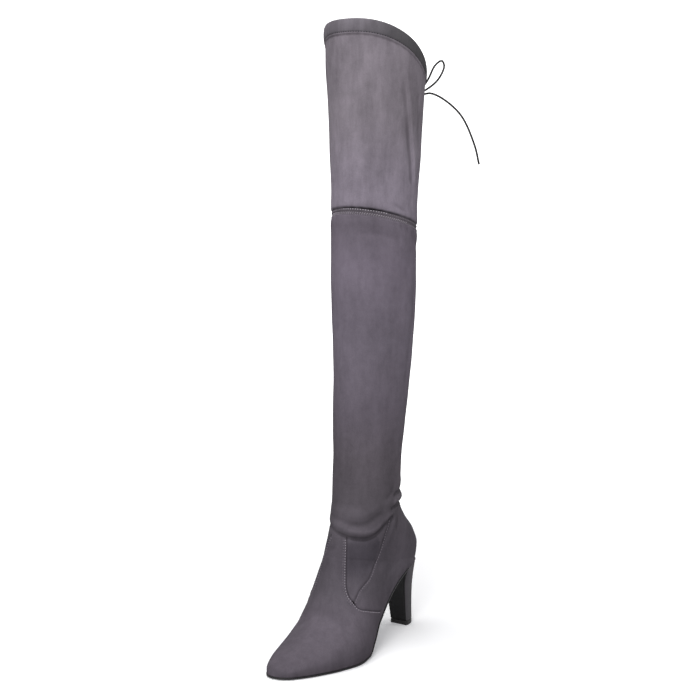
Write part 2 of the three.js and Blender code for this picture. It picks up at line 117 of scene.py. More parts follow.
class Shader:
    """The node tree of one material, with its main shader already in it."""

    def __init__(self, name, **fixed):
        self.material = bpy.data.materials.new(name)
        self.material.use_nodes = True
        self.tree = self.material.node_tree
        self.surface = self.tree.nodes["Principled BSDF"]
        for socket, value in fixed.items():
            self.surface.inputs[socket.replace("_", " ")].default_value = value

    @staticmethod
    def math(tree, operation, *values):
        node = tree.nodes.new("ShaderNodeMath")
        node.operation = operation
        Shader.fill(tree, node, values)
        return Wire(tree, node.outputs[0])

    @staticmethod
    def fill(tree, node, values):
        pairs = values.items() if isinstance(values, dict) else enumerate(values)
        for key, value in pairs:
            if isinstance(value, Wire):
                tree.links.new(value.socket, node.inputs[key])
            else:
                node.inputs[key].default_value = value

    def node(self, kind, settings=None, output=0, **values):
        """Any other node: its type, its settings, and the values or wires of its sockets."""
        made = self.tree.nodes.new("ShaderNode" + kind)
        for key, value in (settings or {}).items():
            if key == "ramp":
                while len(made.color_ramp.elements) < len(value):
                    made.color_ramp.elements.new(1.0)
                for stop, (place, colour) in zip(made.color_ramp.elements, value):
                    stop.position = place
                    stop.color = (*colour, 1.0)
            else:
                setattr(made, key, value)
        self.fill(self.tree, made, {key.replace("_", " "): value for key, value in values.items()})
        return Wire(self.tree, made.outputs[output])

    def attribute(self, name):
        return self.node("Attribute", {"attribute_name": name}, output=2)

    def place(self):
        return self.node("TexCoord", output=3)

    def parts(self, vector):
        """The three numbers of a vector."""
        made = self.tree.nodes.new("ShaderNodeSeparateXYZ")
        self.fill(self.tree, made, {0: vector})
        return [Wire(self.tree, socket) for socket in made.outputs]

    def noise(self, size_mm, detail=3.0, rough=0.5, stretch=(1.0, 1.0, 1.0)):
        """Noise about its middle, from -1 to 1, with grains of that size."""
        wire = self.node(
            "TexNoise",
            Vector=self.node("Mapping", Vector=self.place(), Scale=stretch),
            Scale=1.0 / (size_mm * MM),
            Detail=detail,
            Roughness=rough,
        )
        return (wire - 0.5) * 2.0

    def mix(self, share, first, second):
        made = self.tree.nodes.new("ShaderNodeMix")
        made.data_type = "RGBA"
        first, second = (v if isinstance(v, Wire) else (*v, 1.0) for v in (first, second))
        self.fill(self.tree, made, {0: share, 6: first, 7: second})
        return Wire(self.tree, made.outputs[2])

    def shade(self, colour, share):
        """The colour, lighter where share is above 1 and darker below it."""
        made = self.tree.nodes.new("ShaderNodeVectorMath")
        made.operation = "SCALE"
        self.fill(self.tree, made, {0: colour, "Scale": share})
        return Wire(self.tree, made.outputs[0])

    def finish(self, colour, roughness, height=None, depth_mm=0.3):
        """The finished material: its colour, its roughness and its relief."""
        self.tree.links.new(colour.socket, self.surface.inputs["Base Color"])
        self.tree.links.new(roughness.socket, self.surface.inputs["Roughness"])
        if height is not None:
            bump = self.node("Bump", Height=height, Distance=depth_mm * MM, Strength=1.0)
            self.tree.links.new(bump.socket, self.surface.inputs["Normal"])
        return self.material


def linear(red, green, blue):
    """A colour given in screen values from 0 to 255, as the shader needs it."""
    parts = [value / 255.0 for value in (red, green, blue)]
    return tuple(c / 12.92 if c < 0.04045 else ((c + 0.055) / 1.055) ** 2.4 for c in parts)


KNOT = np.array([9.0, 4.56, 576.0])
EYELET_HALF = 7.0
EYELET_Z = 573.0
TIE_RADIUS = 1.1
CUFF_INSIDE_Y, CUFF_BACK_Y = -12.0, -3.8
MAP_PER_MM = 0.1
loop_route = [
    (1.5, 0.5, 1.0), (5, 1.6, 3.3), (12, 3.7, 13), (19, 5.8, 27), (26, 7.9, 31.8),
    (28.6, 8.6, 26), (21.5, 6.6, 11.4), (6, 1.9, 0.4), (1.5, 0.5, 0.1),
]
end_route = [
    (5, 1, -2.9), (14, 4.3, -1.5), (28, 8.5, -8), (47, 14, -26), (61, 18.2, -57), (65.5, 19.8, -76),
]


def through(points, spacing):
    """A smooth line through the points, with evenly spaced points of its own."""
    points = np.asarray(points, float)
    ends = np.vstack([2 * points[0] - points[1], points, 2 * points[-1] - points[-2]])
    line = []
    for before, a, b, after in zip(ends, ends[1:], ends[2:], ends[3:]):
        gaps = [max(np.linalg.norm(q - p), 1e-6) ** 0.5 for p, q in ((before, a), (a, b), (b, after))]
        leave = (a - before) / gaps[0] - (b - before) / (gaps[0] + gaps[1]) + (b - a) / gaps[1]
        reach = (b - a) / gaps[1] - (after - a) / (gaps[1] + gaps[2]) + (after - b) / gaps[2]
        leave, reach = leave * gaps[1], reach * gaps[1]
        for u in np.linspace(0, 1, 24, endpoint=False):
            line.append(
                (2 * u**3 - 3 * u**2 + 1) * a
                + (u**3 - 2 * u**2 + u) * leave
                + (3 * u**2 - 2 * u**3) * b
                + (u**3 - u**2) * reach
            )
    line = np.array(line + [points[-1]])
    walked = np.concatenate([[0], np.cumsum(np.linalg.norm(np.diff(line, axis=0), axis=1))])
    count = max(int(round(walked[-1] / spacing)), 2)
    places = np.linspace(0, walked[-1], count + 1)
    return np.stack([np.interp(places, walked, line[:, k]) for k in range(3)], axis=1)


def frames_along(line):
    """Directions along the line, and two across it that don't twist."""
    ahead = np.gradient(line, axis=0)
    ahead /= np.linalg.norm(ahead, axis=1, keepdims=True)
    side = np.cross(ahead[0], [0.0, 0.0, 1.0])
    if np.linalg.norm(side) < 0.1:
        side = np.cross(ahead[0], [1.0, 0.0, 0.0])
    sides = []
    for direction in ahead:
        side = side - direction * side.dot(direction)
        side = side / np.linalg.norm(side)
        sides.append(side)
    sides = np.array(sides)
    return ahead, sides, np.cross(ahead, sides)


def mesh_object(name, points_mm, faces, material, uv=None):
    """A smooth mesh piece at the origin, from points in millimetres."""
    mesh = bpy.data.meshes.new(name)
    mesh.from_pydata([tuple(point) for point in np.asarray(points_mm) * MM], [], faces)
    if uv is not None:
        layer = mesh.uv_layers.new(name="along")
        for polygon in mesh.polygons:
            for loop, corner in zip(polygon.loop_indices, uv[polygon.index]):
                layer.data[loop].uv = corner
    mesh.materials.append(material)
    mesh.polygons.foreach_set("use_smooth", [True] * len(mesh.polygons))
    mesh.update()
    return linked(name, mesh)


def faces_round(rings, count):
    """The faces between rings of so many points each, once round."""
    faces = []
    for low in range(0, (rings - 1) * count, count):
        high = low + count
        for j in range(count):
            after = (j + 1) % count
            faces.append((low + j, low + after, high + after, high + j))
    return faces


def cord_tube(name, line, radius, material, sides=12):
    """A round cord along a line, with rounded ends, and how far along and round it as its UV map."""
    ahead, across, up = frames_along(line)
    walked = np.concatenate([[0], np.cumsum(np.linalg.norm(np.diff(line, axis=0), axis=1))])
    turns = np.arange(sides) * 2 * math.pi / sides
    end = len(line) - 1
    rings = [(0, -math.cos(math.asin(k)) * 0.6, k) for k in (0.25, 0.7)]
    rings += [(i, 0.0, 1.0) for i in range(len(line))]
    rings += [(end, math.cos(math.asin(k)) * 0.6, k) for k in (0.7, 0.25)]
    lengths = [walked[i] for i, _, _ in rings]
    points = []
    for i, shift, size in rings:
        middle = line[i] + ahead[i] * shift * radius
        for turn in turns:
            points.append(middle + radius * size * (across[i] * math.cos(turn) + up[i] * math.sin(turn)))
    last = (len(rings) - 1) * sides
    faces = faces_round(len(rings), sides)
    faces += [tuple(reversed(range(sides))), tuple(last + j for j in range(sides))]
    uv = []
    heights = [length * MAP_PER_MM for length in lengths]
    for low, high in zip(heights, heights[1:]):
        for j in range(sides):
            left, right = j / sides, (j + 1) / sides
            uv.append([(left, low), (right, low), (right, high), (left, high)])
    uv += [[(0.5, 0.0)] * sides, [(0.5, heights[-1])] * sides]
    return mesh_object(name, points, faces, material, uv)


def braided_cord():
    """Waxed cotton cord: fine crossing strands, a low gloss, and wax worn grey in patches."""
    shader = Shader("braided_cord", Specular_IOR_Level=0.35)
    around, along, _ = shader.parts(shader.node("UVMap", {"uv_map": "along"}))
    turns, pitch = 4 * 2 * math.pi, 2 * math.pi / 0.22
    left = (around * turns + along * pitch).sin()
    right = (around * turns - along * pitch).sin()
    strands = shader.math(shader.tree, "MAXIMUM", left, right)
    worn = (shader.noise(9.0, 2.0) * 0.5 + 0.5).step(0.45, 0.8)
    colour = shader.mix(worn * 0.4, linear(16, 15, 17), linear(38, 36, 39))
    colour = shader.shade(colour, strands * 0.18 + 0.85)
    return shader.finish(colour, 0.62 - strands * 0.1, strands, 0.09)


cord_finish = braided_cord()


def tie_half(side, name):
    """One half of the tie: its end, with its run from the eyelet, and its loop."""

    def placed(route):
        return [KNOT + np.array([side * x, y, z]) for x, y, z in route]

    hole = KNOT[0] + side * EYELET_HALF
    lead = [
        np.array([hole, CUFF_INSIDE_Y, EYELET_Z]),
        np.array([hole, CUFF_BACK_Y, EYELET_Z]),
        KNOT + np.array([side * 3.4, -3.6, -2.0]),
        KNOT + np.array([side * 0.6, -0.6, -1.4]),
    ]
    tail = through(lead + placed(end_route), 3.6)
    tail_piece = cord_tube(f"cord_end_{name}", tail, TIE_RADIUS, cord_finish)
    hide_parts(f"tie_end_{name}", f"tie_lead_{name}")
    loop = through(placed(loop_route), 2.6)
    loop_piece = cord_tube(f"cord_loop_{name}", loop, TIE_RADIUS, cord_finish)
    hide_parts(f"tie_loop_{name}")
    for piece in (tail_piece, loop_piece):
        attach(piece, "root")
    return (tail_piece, tail), (loop_piece, loop)


def tie_knot():
    """The middle of the bow: the crossing under it, and the cord wrapped once and a half round it."""
    wrap = []
    for turn in np.linspace(-0.35, 1.4, 40):
        angle = turn * 2 * math.pi
        wrap.append((-0.9 + 1.5 * turn, 2.35 * math.cos(angle), 3.5 * math.sin(angle)))
    crossing = []
    for turn in np.linspace(0, 1, 30):
        angle = turn * 2 * math.pi
        crossing.append((3.7 * math.sin(angle), 0.9 * math.cos(2 * angle), 1.6 * math.sin(2 * angle)))
    made = [
        cord_tube("knot_wrap", KNOT + np.array(wrap), 1.0, cord_finish),
        cord_tube("knot_crossing", KNOT + np.array(crossing), 1.25, cord_finish),
    ]
    joined = bmesh.new()
    for piece in made:
        joined.from_mesh(piece.data)
    mesh = bpy.data.meshes.new("cord_knot")
    joined.to_mesh(mesh)
    joined.free()
    mesh.materials.append(cord_finish)
    for piece in made:
        bpy.data.objects.remove(piece)
    knot = linked("cord_knot", mesh)
    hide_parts("tie_knot")
    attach(knot, "root")
    return knot


knot_piece = tie_knot()
for side, name in ((1, "outer"), (-1, "inner")):
    (tail_piece, tail), (loop_piece, loop) = tie_half(side, name)
    knotted = [knot_piece] if side > 0 else []
    tuple(tail[0] * MM)
    [tuple(point) for point in tail * MM]
    tuple(loop[0] * MM)
    [tuple(point) for point in loop * MM]

# The upper: stretch suede on a knit lining, drawn over sections of a foot and of a leg. It is one skin
# with a real wall, open at the collar and along the sole. The form is the solid model's, cut finer, and
# then the seams, the turned cuff and each fold are pressed into it.
LAST_LENGTH = 226.0
TOE_Y = 2.0 - LAST_LENGTH
BALL_WIDTH = 84.0
HEEL_HEIGHT = 78.0
TOE_SPRING = 0.6
TOE_LEAN = 5.0
INSTEP_HEIGHT = 104.0
FOOT_LEVEL = 2.3
ANKLE_TOP = 152.0
KNEE_HEIGHT, KNEE_DROP = 454.0, 22.0
BOOT_HEIGHT, COLLAR_DROP, CUFF_HEIGHT = 637.0, 57.0, 14.0
ANKLE, CALF, KNEE, COLLAR = 229.0, 283.0, 281.0, 328.0
SETBACK = 60.0
LEG_DEPTH = 1.12
WALL, RIM_RISE = 1.6, 1.15
LINING_SHARE = 0.55

# along, over, spring, rise, ridge, outer, inner, hug outer, hug inner, lean, widest, cup
foot_sections = np.array([
    [0, 0, 1, 0, 0, 0, 0, 0.94, 0.94, 1, 0.3, 1],
    [0.006, 0.012, 0.97, 0, 0.067, 0.09, 0.08, 0.94, 0.94, 1, 0.32, 1],
    [0.03, 0.04, 0.85, 0, 0.11, 0.196, 0.16, 0.94, 0.935, 0.96, 0.33, 1],
    [0.08, 0.095, 0.6, 0, 0.185, 0.295, 0.235, 0.935, 0.93, 0.82, 0.33, 1],
    [0.155, 0.175, 0.3, 0, 0.257, 0.393, 0.315, 0.93, 0.9, 0.55, 0.3, 1],
    [0.25, 0.26, 0, 0, 0.33, 0.478, 0.405, 0.935, 0.9, 0.25, 0.28, 1],
    [0.36, 0.323, 0, 0, 0.42, 0.53, 0.472, 0.94, 0.87, 0.04, 0.28, 1],
    [0.443, 0.336, 0, 0.025, 0.51, 0.518, 0.475, 0.92, 0.79, 0, 0.31, 1],
    [0.525, 0.351, 0, 0.15, 0.593, 0.474, 0.452, 0.85, 0.66, 0, 0.37, 1],
    [0.607, 0.364, 0, 0.37, 0.682, 0.425, 0.425, 0.79, 0.57, 0, 0.42, 1],
    [0.69, 0.371, 0, 0.62, 0.762, 0.4, 0.402, 0.8, 0.62, 0, 0.46, 1.05],
    [0.772, 0.379, 0, 0.815, 0.841, 0.384, 0.386, 0.84, 0.74, 0, 0.48, 1.15],
    [0.863, 0.386, 0, 0.945, 0.911, 0.374, 0.374, 0.87, 0.83, 0, 0.5, 1.3],
    [0.93, 0.393, 0, 0.98, 0.96, 0.372, 0.372, 0.75, 0.74, 0, 0.52, 1.4],
    [0.975, 0.398, 0, 0.993, 0.98, 0.374, 0.374, 0.42, 0.42, 0, 0.54, 1.45],
    [0.991, 0.402, 0, 1, 1, 0.376, 0.376, 0, 0, 0, 0.56, 1.5],
])
# along, over, up behind, up in front, outer, inner, widest, taper, cup
counter_sections = np.array([
    [1.003, 0.425, 0.2, 0.21, 0.382, 0.382, 0.56, 0.02, 1.5],
    [0.964, 0.449, 0.45, 0.42, 0.386, 0.386, 0.55, 0.06, 1.45],
    [0.892, 0.472, 0.69, 0.63, 0.392, 0.392, 0.54, 0.1, 1.3],
    [0.853, 0.488, 0.87, 0.83, 0.402, 0.402, 0.52, 0.12, 1.1],
])
# leg, thigh, cuff, girth, forward, taper, dome
shaft_sections = np.array([
    [0, 0, 0, ANKLE, 0.215, 0.1, 1],
    [0.16, 0, 0, 1.01 * ANKLE, 0.18, 0.04, 1],
    [0.27, 0, 0, 0.85 * CALF, 0.135, 0.02, 1],
    [0.5, 0, 0, 0.93 * CALF, 0.04, 0, 1],
    [0.76, 0, 0, CALF, 0.02, 0, 1],
    [0.955, 0, 0, KNEE, 0.015, 0, 1],
    [0.98, 0, 0, KNEE, 0.01, 0, 1],
    [1, 0, 0, KNEE, 0.01, 0, 1],
    [1, 0.035, 0, KNEE, 0.01, 0, 1],
    [1, 0.12, 0, 1.01 * KNEE, 0.01, 0, 1],
    [1, 0.52, 0, 0.93 * COLLAR, 0, 0, 1.1],
    [1, 0.88, 0, 0.985 * COLLAR, 0, 0, 1.38],
    [1, 0.995, 0, 0.995 * COLLAR, 0, 0, 1.42],
    [1, 1, 0.06, 0.995 * COLLAR, 0, 0, 1.42],
    [1, 1, 1, COLLAR, 0, 0, 1.42],
])
SEAT_ROW = len(foot_sections) - 1
KNEE_ROW = len(foot_sections) + len(counter_sections) + 7
CUFF_ROW = KNEE_ROW + 6
TOP_ROW = CUFF_ROW + 1


def lerp(a, b, share):
    return a + (b - a) * share


def ease(value, start, end):
    share = np.clip((value - start) / (end - start), 0, 1)
    return share * share * (3 - 2 * share)


def section_columns():
    """The measures of the sections, each as one column from the toe to the collar."""
    foot, counter, shaft = foot_sections.T, counter_sections.T, shaft_sections.T
    base = FOOT_LEVEL + foot[2] * TOE_SPRING
    leg, thigh, cuff, girth, forward, taper, dome = shaft
    half = girth / math.pi / (1 + LEG_DEPTH)
    deep = half * LEG_DEPTH
    centre = -SETBACK * (1 + forward)
    height = lerp(ANKLE_TOP, KNEE_HEIGHT, leg)
    height = height + thigh * (BOOT_HEIGHT - CUFF_HEIGHT - KNEE_HEIGHT) + cuff * CUFF_HEIGHT
    drop = KNEE_DROP * leg**2 + (COLLAR_DROP - KNEE_DROP) * thigh
    square = np.full(len(counter_sections) + len(shaft_sections), math.pi / 2)
    one, none = np.ones, np.zeros
    n_foot, n_counter, n_shaft = len(foot_sections), len(counter_sections), len(shaft_sections)
    parts = {
        "back_y": (TOE_Y + foot[0] * LAST_LENGTH, TOE_Y + counter[0] * LAST_LENGTH, centre + deep),
        "back_z": (
            base + foot[3] * (HEEL_HEIGHT - FOOT_LEVEL),
            lerp(HEEL_HEIGHT, ANKLE_TOP, counter[2]),
            height - drop,
        ),
        "front_y": (TOE_Y + foot[1] * LAST_LENGTH, TOE_Y + counter[1] * LAST_LENGTH, centre - deep),
        "front_z": (
            base + foot[4] * (INSTEP_HEIGHT - FOOT_LEVEL),
            lerp(INSTEP_HEIGHT, ANKLE_TOP, counter[3]),
            height,
        ),
        "outer": (foot[5] * BALL_WIDTH, counter[4] * BALL_WIDTH, half),
        "inner": (foot[6] * BALL_WIDTH, counter[5] * BALL_WIDTH, half),
        "hem_outer": (-np.arccos(foot[7]), -square),
        "hem_inner": (-np.arccos(foot[8]), -square),
        "middle": (-foot[9] * TOE_LEAN, 0 * square),
        "widest": (foot[10], counter[6], 0.5 * one(n_shaft)),
        "cup": (foot[11], counter[8], one(n_shaft)),
        "taper": (none(n_foot), counter[7], taper),
        "dome": (one(n_foot + n_counter), dome),
    }
    return {name: np.concatenate(values) for name, values in parts.items()}


def even_curve(values):
    """A smooth curve through the values that never swings past them."""
    steps = np.diff(values)
    slope = np.concatenate([steps[:1], np.zeros(len(steps) - 1), steps[-1:]])
    product = steps[:-1] * steps[1:]
    same = product > 0
    slope[1:-1][same] = 2 * product[same] / (steps[:-1] + steps[1:])[same]

    def curve(s):
        i = np.clip(np.floor(s).astype(int), 0, len(steps) - 1)
        u = s - i
        bend = u * u * (3 - 2 * u)
        return values[i] + steps[i] * bend + u * (1 - u) * ((1 - u) * slope[i] - u * slope[i + 1])

    return curve


columns = section_columns()
whole = {name: even_curve(values) for name, values in columns.items()}
split = dict(whole)
for name in ("back_y", "back_z", "hem_outer", "hem_inner"):
    sole_run = even_curve(columns[name][: SEAT_ROW + 1])
    counter_run = even_curve(columns[name][SEAT_ROW:])
    split[name] = lambda s, a=sole_run, b=counter_run: np.where(
        s <= SEAT_ROW, a(np.minimum(s, SEAT_ROW)), b(np.maximum(s - SEAT_ROW, 0))
    )


def form(s, t):
    """The last's surface. s runs along the sections, and t once round from the outer or back edge."""
    at = {name: curve(s) for name, curve in split.items()}
    turn = lerp(at["hem_outer"], math.pi - at["hem_inner"], t)
    side, up = np.cos(turn), np.sin(turn)
    hem = np.where(side > 0, at["hem_outer"], at["hem_inner"])
    low = np.maximum(1 + up / np.maximum(np.sin(-hem), 1e-9), 0) ** at["cup"]
    share = np.where(up < 0, at["widest"] * low, lerp(at["widest"], 1, up))
    narrowing = np.where(up < 0, 1 - at["taper"] * up * up, 1)
    eased = ease(share, 0, 0.15)
    back_y = lerp(at["back_y"], whole["back_y"](s), eased)
    back_z = lerp(at["back_z"], whole["back_z"](s), eased)
    x = at["middle"] + np.where(side > 0, at["outer"], at["inner"]) * side * narrowing
    y = lerp(back_y, at["front_y"], share)
    z = lerp(at["front_z"], back_z, np.maximum(1 - share, 0) ** at["dome"])
    return np.stack([x, y, z], axis=-1)


def unit(vectors):
    return vectors / np.maximum(np.linalg.norm(vectors, axis=-1, keepdims=True), 1e-12)


def along_sole(s):
    start, end = np.maximum(s - 1e-3, 0), np.minimum(s + 1e-3, SEAT_ROW)
    y = split["back_y"](end) - split["back_y"](start)
    z = split["back_z"](end) - split["back_z"](start)
    return unit(np.stack([0 * y, y, z], axis=-1))


def facing(s, t):
    """Which way the form faces. Its lower edge faces along the sole, so that the wall stands on it."""
    h = 1e-3
    along = form(np.minimum(s + h, TOP_ROW), t) - form(np.maximum(s - h, 0), t)
    around = form(s, np.minimum(t + h, 1)) - form(s, np.maximum(t - h, 0))
    normal = np.cross(along, around)
    edge = (t == 0) | (t == 1)
    normal[..., 0] = np.where(edge, 0, normal[..., 0])
    sole = along_sole(np.minimum(s, SEAT_ROW))
    side = np.where(t == 0, 1.0, -1.0)
    ahead = (along * sole).sum(axis=-1)
    hemmed = -sole * (side * along[..., 0])[..., None]
    hemmed[..., 0] += side * ahead
    normal = np.where((edge & (s < SEAT_ROW))[..., None], hemmed, normal)
    normal = np.where((edge & (s == SEAT_ROW))[..., None], sole, normal)
    normal = np.where((s == 0)[..., None], -along_sole(s), normal)
    return unit(normal)


def ring_places():
    """Where the rings lie along the sections: 2 mm apart, and closer at the knee seam and the cuff."""
    places = [0.0]
    for i in range(1, TOP_ROW + 1):
        a, b = i - 1, i
        travel = max(
            math.hypot(*(columns[f"{edge}_{axis}"][b] - columns[f"{edge}_{axis}"][a] for axis in "yz"))
            for edge in ("back", "front")
        )
        spacing = 2.0
        if KNEE_ROW - 1 <= i <= KNEE_ROW + 1 or i >= CUFF_ROW:
            spacing = 0.55 if i <= KNEE_ROW + 1 else 0.7
        elif SEAT_ROW - 1 <= i <= SEAT_ROW + 1 or i <= 3:
            spacing = 1.0
        steps = max(2, int(round(travel / spacing)))
        places += [a + (k + 1) / steps for k in range(steps)]
    return np.array(places)


AROUND = 168
ring_s = ring_places()
ring_s = ring_s[: len(ring_s) - (len(ring_s) + 1) % 2]
ring_s[-1] = TOP_ROW
grid_s, grid_t = np.meshgrid(ring_s, np.arange(AROUND + 1) / AROUND, indexing="ij")
form_points = form(grid_s, grid_t)
form_facing = facing(grid_s, grid_t)


def walked_from(row):
    """How far each point of the grid is above a row of the sections, along the surface."""
    steps = np.linalg.norm(np.diff(form_points, axis=0), axis=-1)
    walked = np.concatenate([np.zeros((1, AROUND + 1)), np.cumsum(steps, axis=0)])
    at_row = np.array([np.interp(row, ring_s, walked[:, j]) for j in range(AROUND + 1)])
    return walked - at_row


above_knee = walked_from(KNEE_ROW)
above_cuff = walked_from(CUFF_ROW)


def tree_of(points):
    """The grid of points as a surface that a line can be laid on."""
    count = AROUND + 1
    flat = points.reshape(-1, 3)
    corners = []
    for i in range(len(ring_s) - 1):
        low, high = i * count, (i + 1) * count
        for j in range(AROUND):
            corners.append((low + j, low + j + 1, high + j + 1, high + j))
    return BVHTree.FromPolygons([Vector(point) for point in flat], corners)


form_tree = tree_of(form_points)


def laid_on(tree, points):
    """The nearest points of a surface, and which way the boot faces there."""
    places, normals = [], []
    for point in points:
        place, normal, _, _ = tree.find_nearest(Vector(point))
        places.append(place)
        normals.append(-normal)
    return np.array(places), np.array(normals)


OUTSIDE = 120


def on_leg(route):
    """Points on the leg from bearings, in degrees from the front to the outer side, and heights."""
    points = []
    for bearing, height, *_ in route:
        angle = math.radians(bearing)
        outward = Vector((math.sin(angle), -math.cos(angle), 0))
        further_forward = 13 * float(np.clip((270 - height) / 120, 0, 1))
        centre = Vector((0, -SETBACK - further_forward, height))
        points.append(form_tree.ray_cast(centre + outward * OUTSIDE, -outward)[0])
    return np.array(points)


def nearest_on(line, points):
    """The squared distance of each point to the nearest place of a line, and which place that is."""
    nearest, which = np.full(len(points), 1e9), np.zeros(len(points), int)
    for k, place in enumerate(line):
        away = ((points - place) ** 2).sum(axis=-1)
        closer = away < nearest
        nearest[closer], which[closer] = away[closer], k
    return nearest, which


def pressed(relief, route, spread, proud, weights):
    """Adds a soft ridge, or a trough where proud is below 0, along a line through the route's points.
    The weights are the shares of its height at those points, and it fades out at both ends."""
    line, _ = laid_on(form_tree, through(route, 1.2))
    walked = np.concatenate([[0], np.cumsum(np.linalg.norm(np.diff(line, axis=0), axis=1))])
    nearest_to = [np.argmin(((line - point) ** 2).sum(axis=1)) for point in route]
    weight = np.interp(walked, walked[np.maximum.accumulate(nearest_to)], weights)
    from_end = np.minimum(walked, walked[-1] - walked)
    strength = proud * weight * ease(from_end, -0.5, 2.5 * spread)
    low, high = line.min(axis=0) - 3 * spread, line.max(axis=0) + 3 * spread
    near = np.all((form_points > low) & (form_points < high), axis=-1)
    nearest, which = nearest_on(line, form_points[near])
    relief[near] += strength[which] * np.exp(-nearest / spread**2)


# Folds of the leg: name, spread and proud in millimetres, then bearings, heights and weights
leg_folds = [
    ("slump lip", 3.2, 1.5, [
        (-60, 134, 0.3), (-20, 131.5, 0.35), (-3, 131.3, 0.5), (11, 127.5, 0.8), (27, 125, 1),
        (41, 124.8, 1), (52, 127, 0.9), (68, 135, 0.8), (82, 139.5, 0.7), (100, 142, 0.6),
    ]),
    ("slump crease", 2.6, -2.0, [
        (-50, 129, 0.3), (-10, 126.5, 0.4), (9, 122.3, 0.8), (22, 119.6, 1), (35, 118.4, 1),
        (49, 120.6, 1), (66, 127.5, 0.9), (82, 133.5, 0.7), (98, 137, 0.6),
    ]),
    ("slump hollow", 4.5, -1.3, [
        (-30, 139, 0.3), (6, 136.5, 0.7), (20, 134.5, 1), (33, 134.5, 1), (45, 138.5, 1),
        (58, 144, 0.8), (75, 149, 0.6),
    ]),
    ("slump belly", 8.0, 1.2, [
        (-178, 151, 0.6), (-120, 143, 0.5), (-60, 138, 0.3), (10, 140, 0.25), (45, 146, 0.5),
        (75, 152, 0.7), (110, 156, 0.7), (150, 158, 0.7), (178, 158, 0.6),
    ]),
    ("slump crease inside", 3.4, -1.5, [
        (-170, 141, 0.8), (-140, 138, 1), (-110, 132, 1), (-70, 127, 0.7), (-40, 126, 0.4),
    ]),
    ("heel fold", 2.4, -1.2, [
        (94, 139, 1), (88, 132, 1), (80, 124, 0.9), (70, 114, 0.7), (62, 106, 0.3),
    ]),
    ("heel fold ridge", 2.6, 0.8, [(99, 137, 0.9), (94, 129, 1), (86, 119, 0.8), (76, 109, 0.4)]),
    ("heel fold far", 2.6, -0.9, [(112, 138, 1), (108, 128, 0.8), (104, 118, 0.4)]),
    ("back pinch", 1.9, -1.7, [
        (80, 143.5, 0.5), (92, 147, 0.9), (104, 147.5, 1), (140, 149, 1), (178, 150, 0.9),
        (-150, 149, 0.9), (-110, 146, 0.5),
    ]),
    ("back roll", 2.6, 1.7, [
        (84, 149, 0.3), (96, 153, 1), (110, 154, 1), (145, 156, 1), (178, 157, 0.9), (-150, 156, 0.9),
        (-115, 153, 0.5),
    ]),
    ("back pinch high", 2.0, -1.5, [
        (85, 156, 0.3), (94, 160.5, 0.9), (110, 161, 1), (145, 163, 1), (178, 164, 0.9),
        (-150, 163, 0.9), (-110, 160, 0.4),
    ]),
    ("back sag", 4.0, 0.6, [(90, 168, 0.5), (115, 170, 1), (150, 172, 1), (-175, 172, 0.8)]),
    ("ankle drag", 3.4, -0.7, [(60, 152, 0.6), (72, 158, 1), (84, 166, 0.8), (92, 174, 0.3)]),
    ("heel pull inside", 3.4, -0.8, [(-100, 136, 1), (-112, 124, 1), (-118, 108, 1)]),
    ("shin dent", 14.0, -0.7, [(25, 188, 1), (55, 196, 1), (85, 210, 1)]),
    ("shin dent inside", 14.0, -0.6, [(-25, 190, 1), (-60, 200, 1), (-90, 212, 1)]),
    ("shin ridge", 12.0, 0.5, [(-12, 170, 0.6), (-14, 230, 1), (-16, 290, 1), (-12, 340, 0.5)]),
    ("calf drag", 6.0, -0.7, [(88, 250, 0.7), (98, 300, 1), (106, 352, 1), (112, 392, 0.5)]),
    ("calf drag ridge", 5.0, 0.5, [(100, 250, 0.7), (109, 302, 1), (116, 352, 1), (122, 388, 0.5)]),
    ("calf drag inside", 7.0, -0.45, [(-96, 262, 1), (-104, 320, 1), (-112, 372, 1)]),
    ("knee slack", 5.0, -0.9, [(60, 437, 0.6), (85, 431, 1), (112, 420, 1), (140, 411, 0.7)]),
    ("knee slack low", 6.0, -0.6, [(10, 431, 0.8), (45, 428, 1), (80, 419, 0.8)]),
    ("knee slack inside", 5.0, -0.7, [(-60, 437, 1), (-85, 430, 1), (-115, 418, 1)]),
    ("knee dent", 4.2, -1.1, [(52, 460, 0.5), (64, 456, 1), (78, 452, 1), (92, 450, 0.5)]),
    ("thigh fold", 5.5, -1.1, [
        (66, 588, 0.15), (74, 560, 0.7), (80, 530, 1), (88, 500, 1), (96, 470, 0.9),
    ]),
    ("thigh fold ridge", 3.0, 1.1, [
        (72, 592, 0.3), (80, 562, 0.8), (87, 532, 1), (95, 502, 1), (103, 474, 1),
    ]),
    ("thigh fold behind", 4.5, -0.8, [(97, 575, 1), (102, 545, 1), (110, 512, 1), (118, 480, 1)]),
    ("thigh front", 9.0, -0.5, [(-38, 600, 1), (-42, 560, 1), (-38, 515, 1), (-34, 480, 0.6)]),
    ("thigh middle", 11.0, -0.45, [(34, 590, 0.7), (40, 550, 1), (36, 505, 1), (30, 475, 0.6)]),
    ("thigh fold inside", 5.0, -0.8, [(-80, 590, 1), (-90, 545, 1), (-102, 490, 1)]),
    ("thigh back", 6.0, -0.7, [(150, 560, 1), (158, 520, 1), (152, 470, 1)]),
]
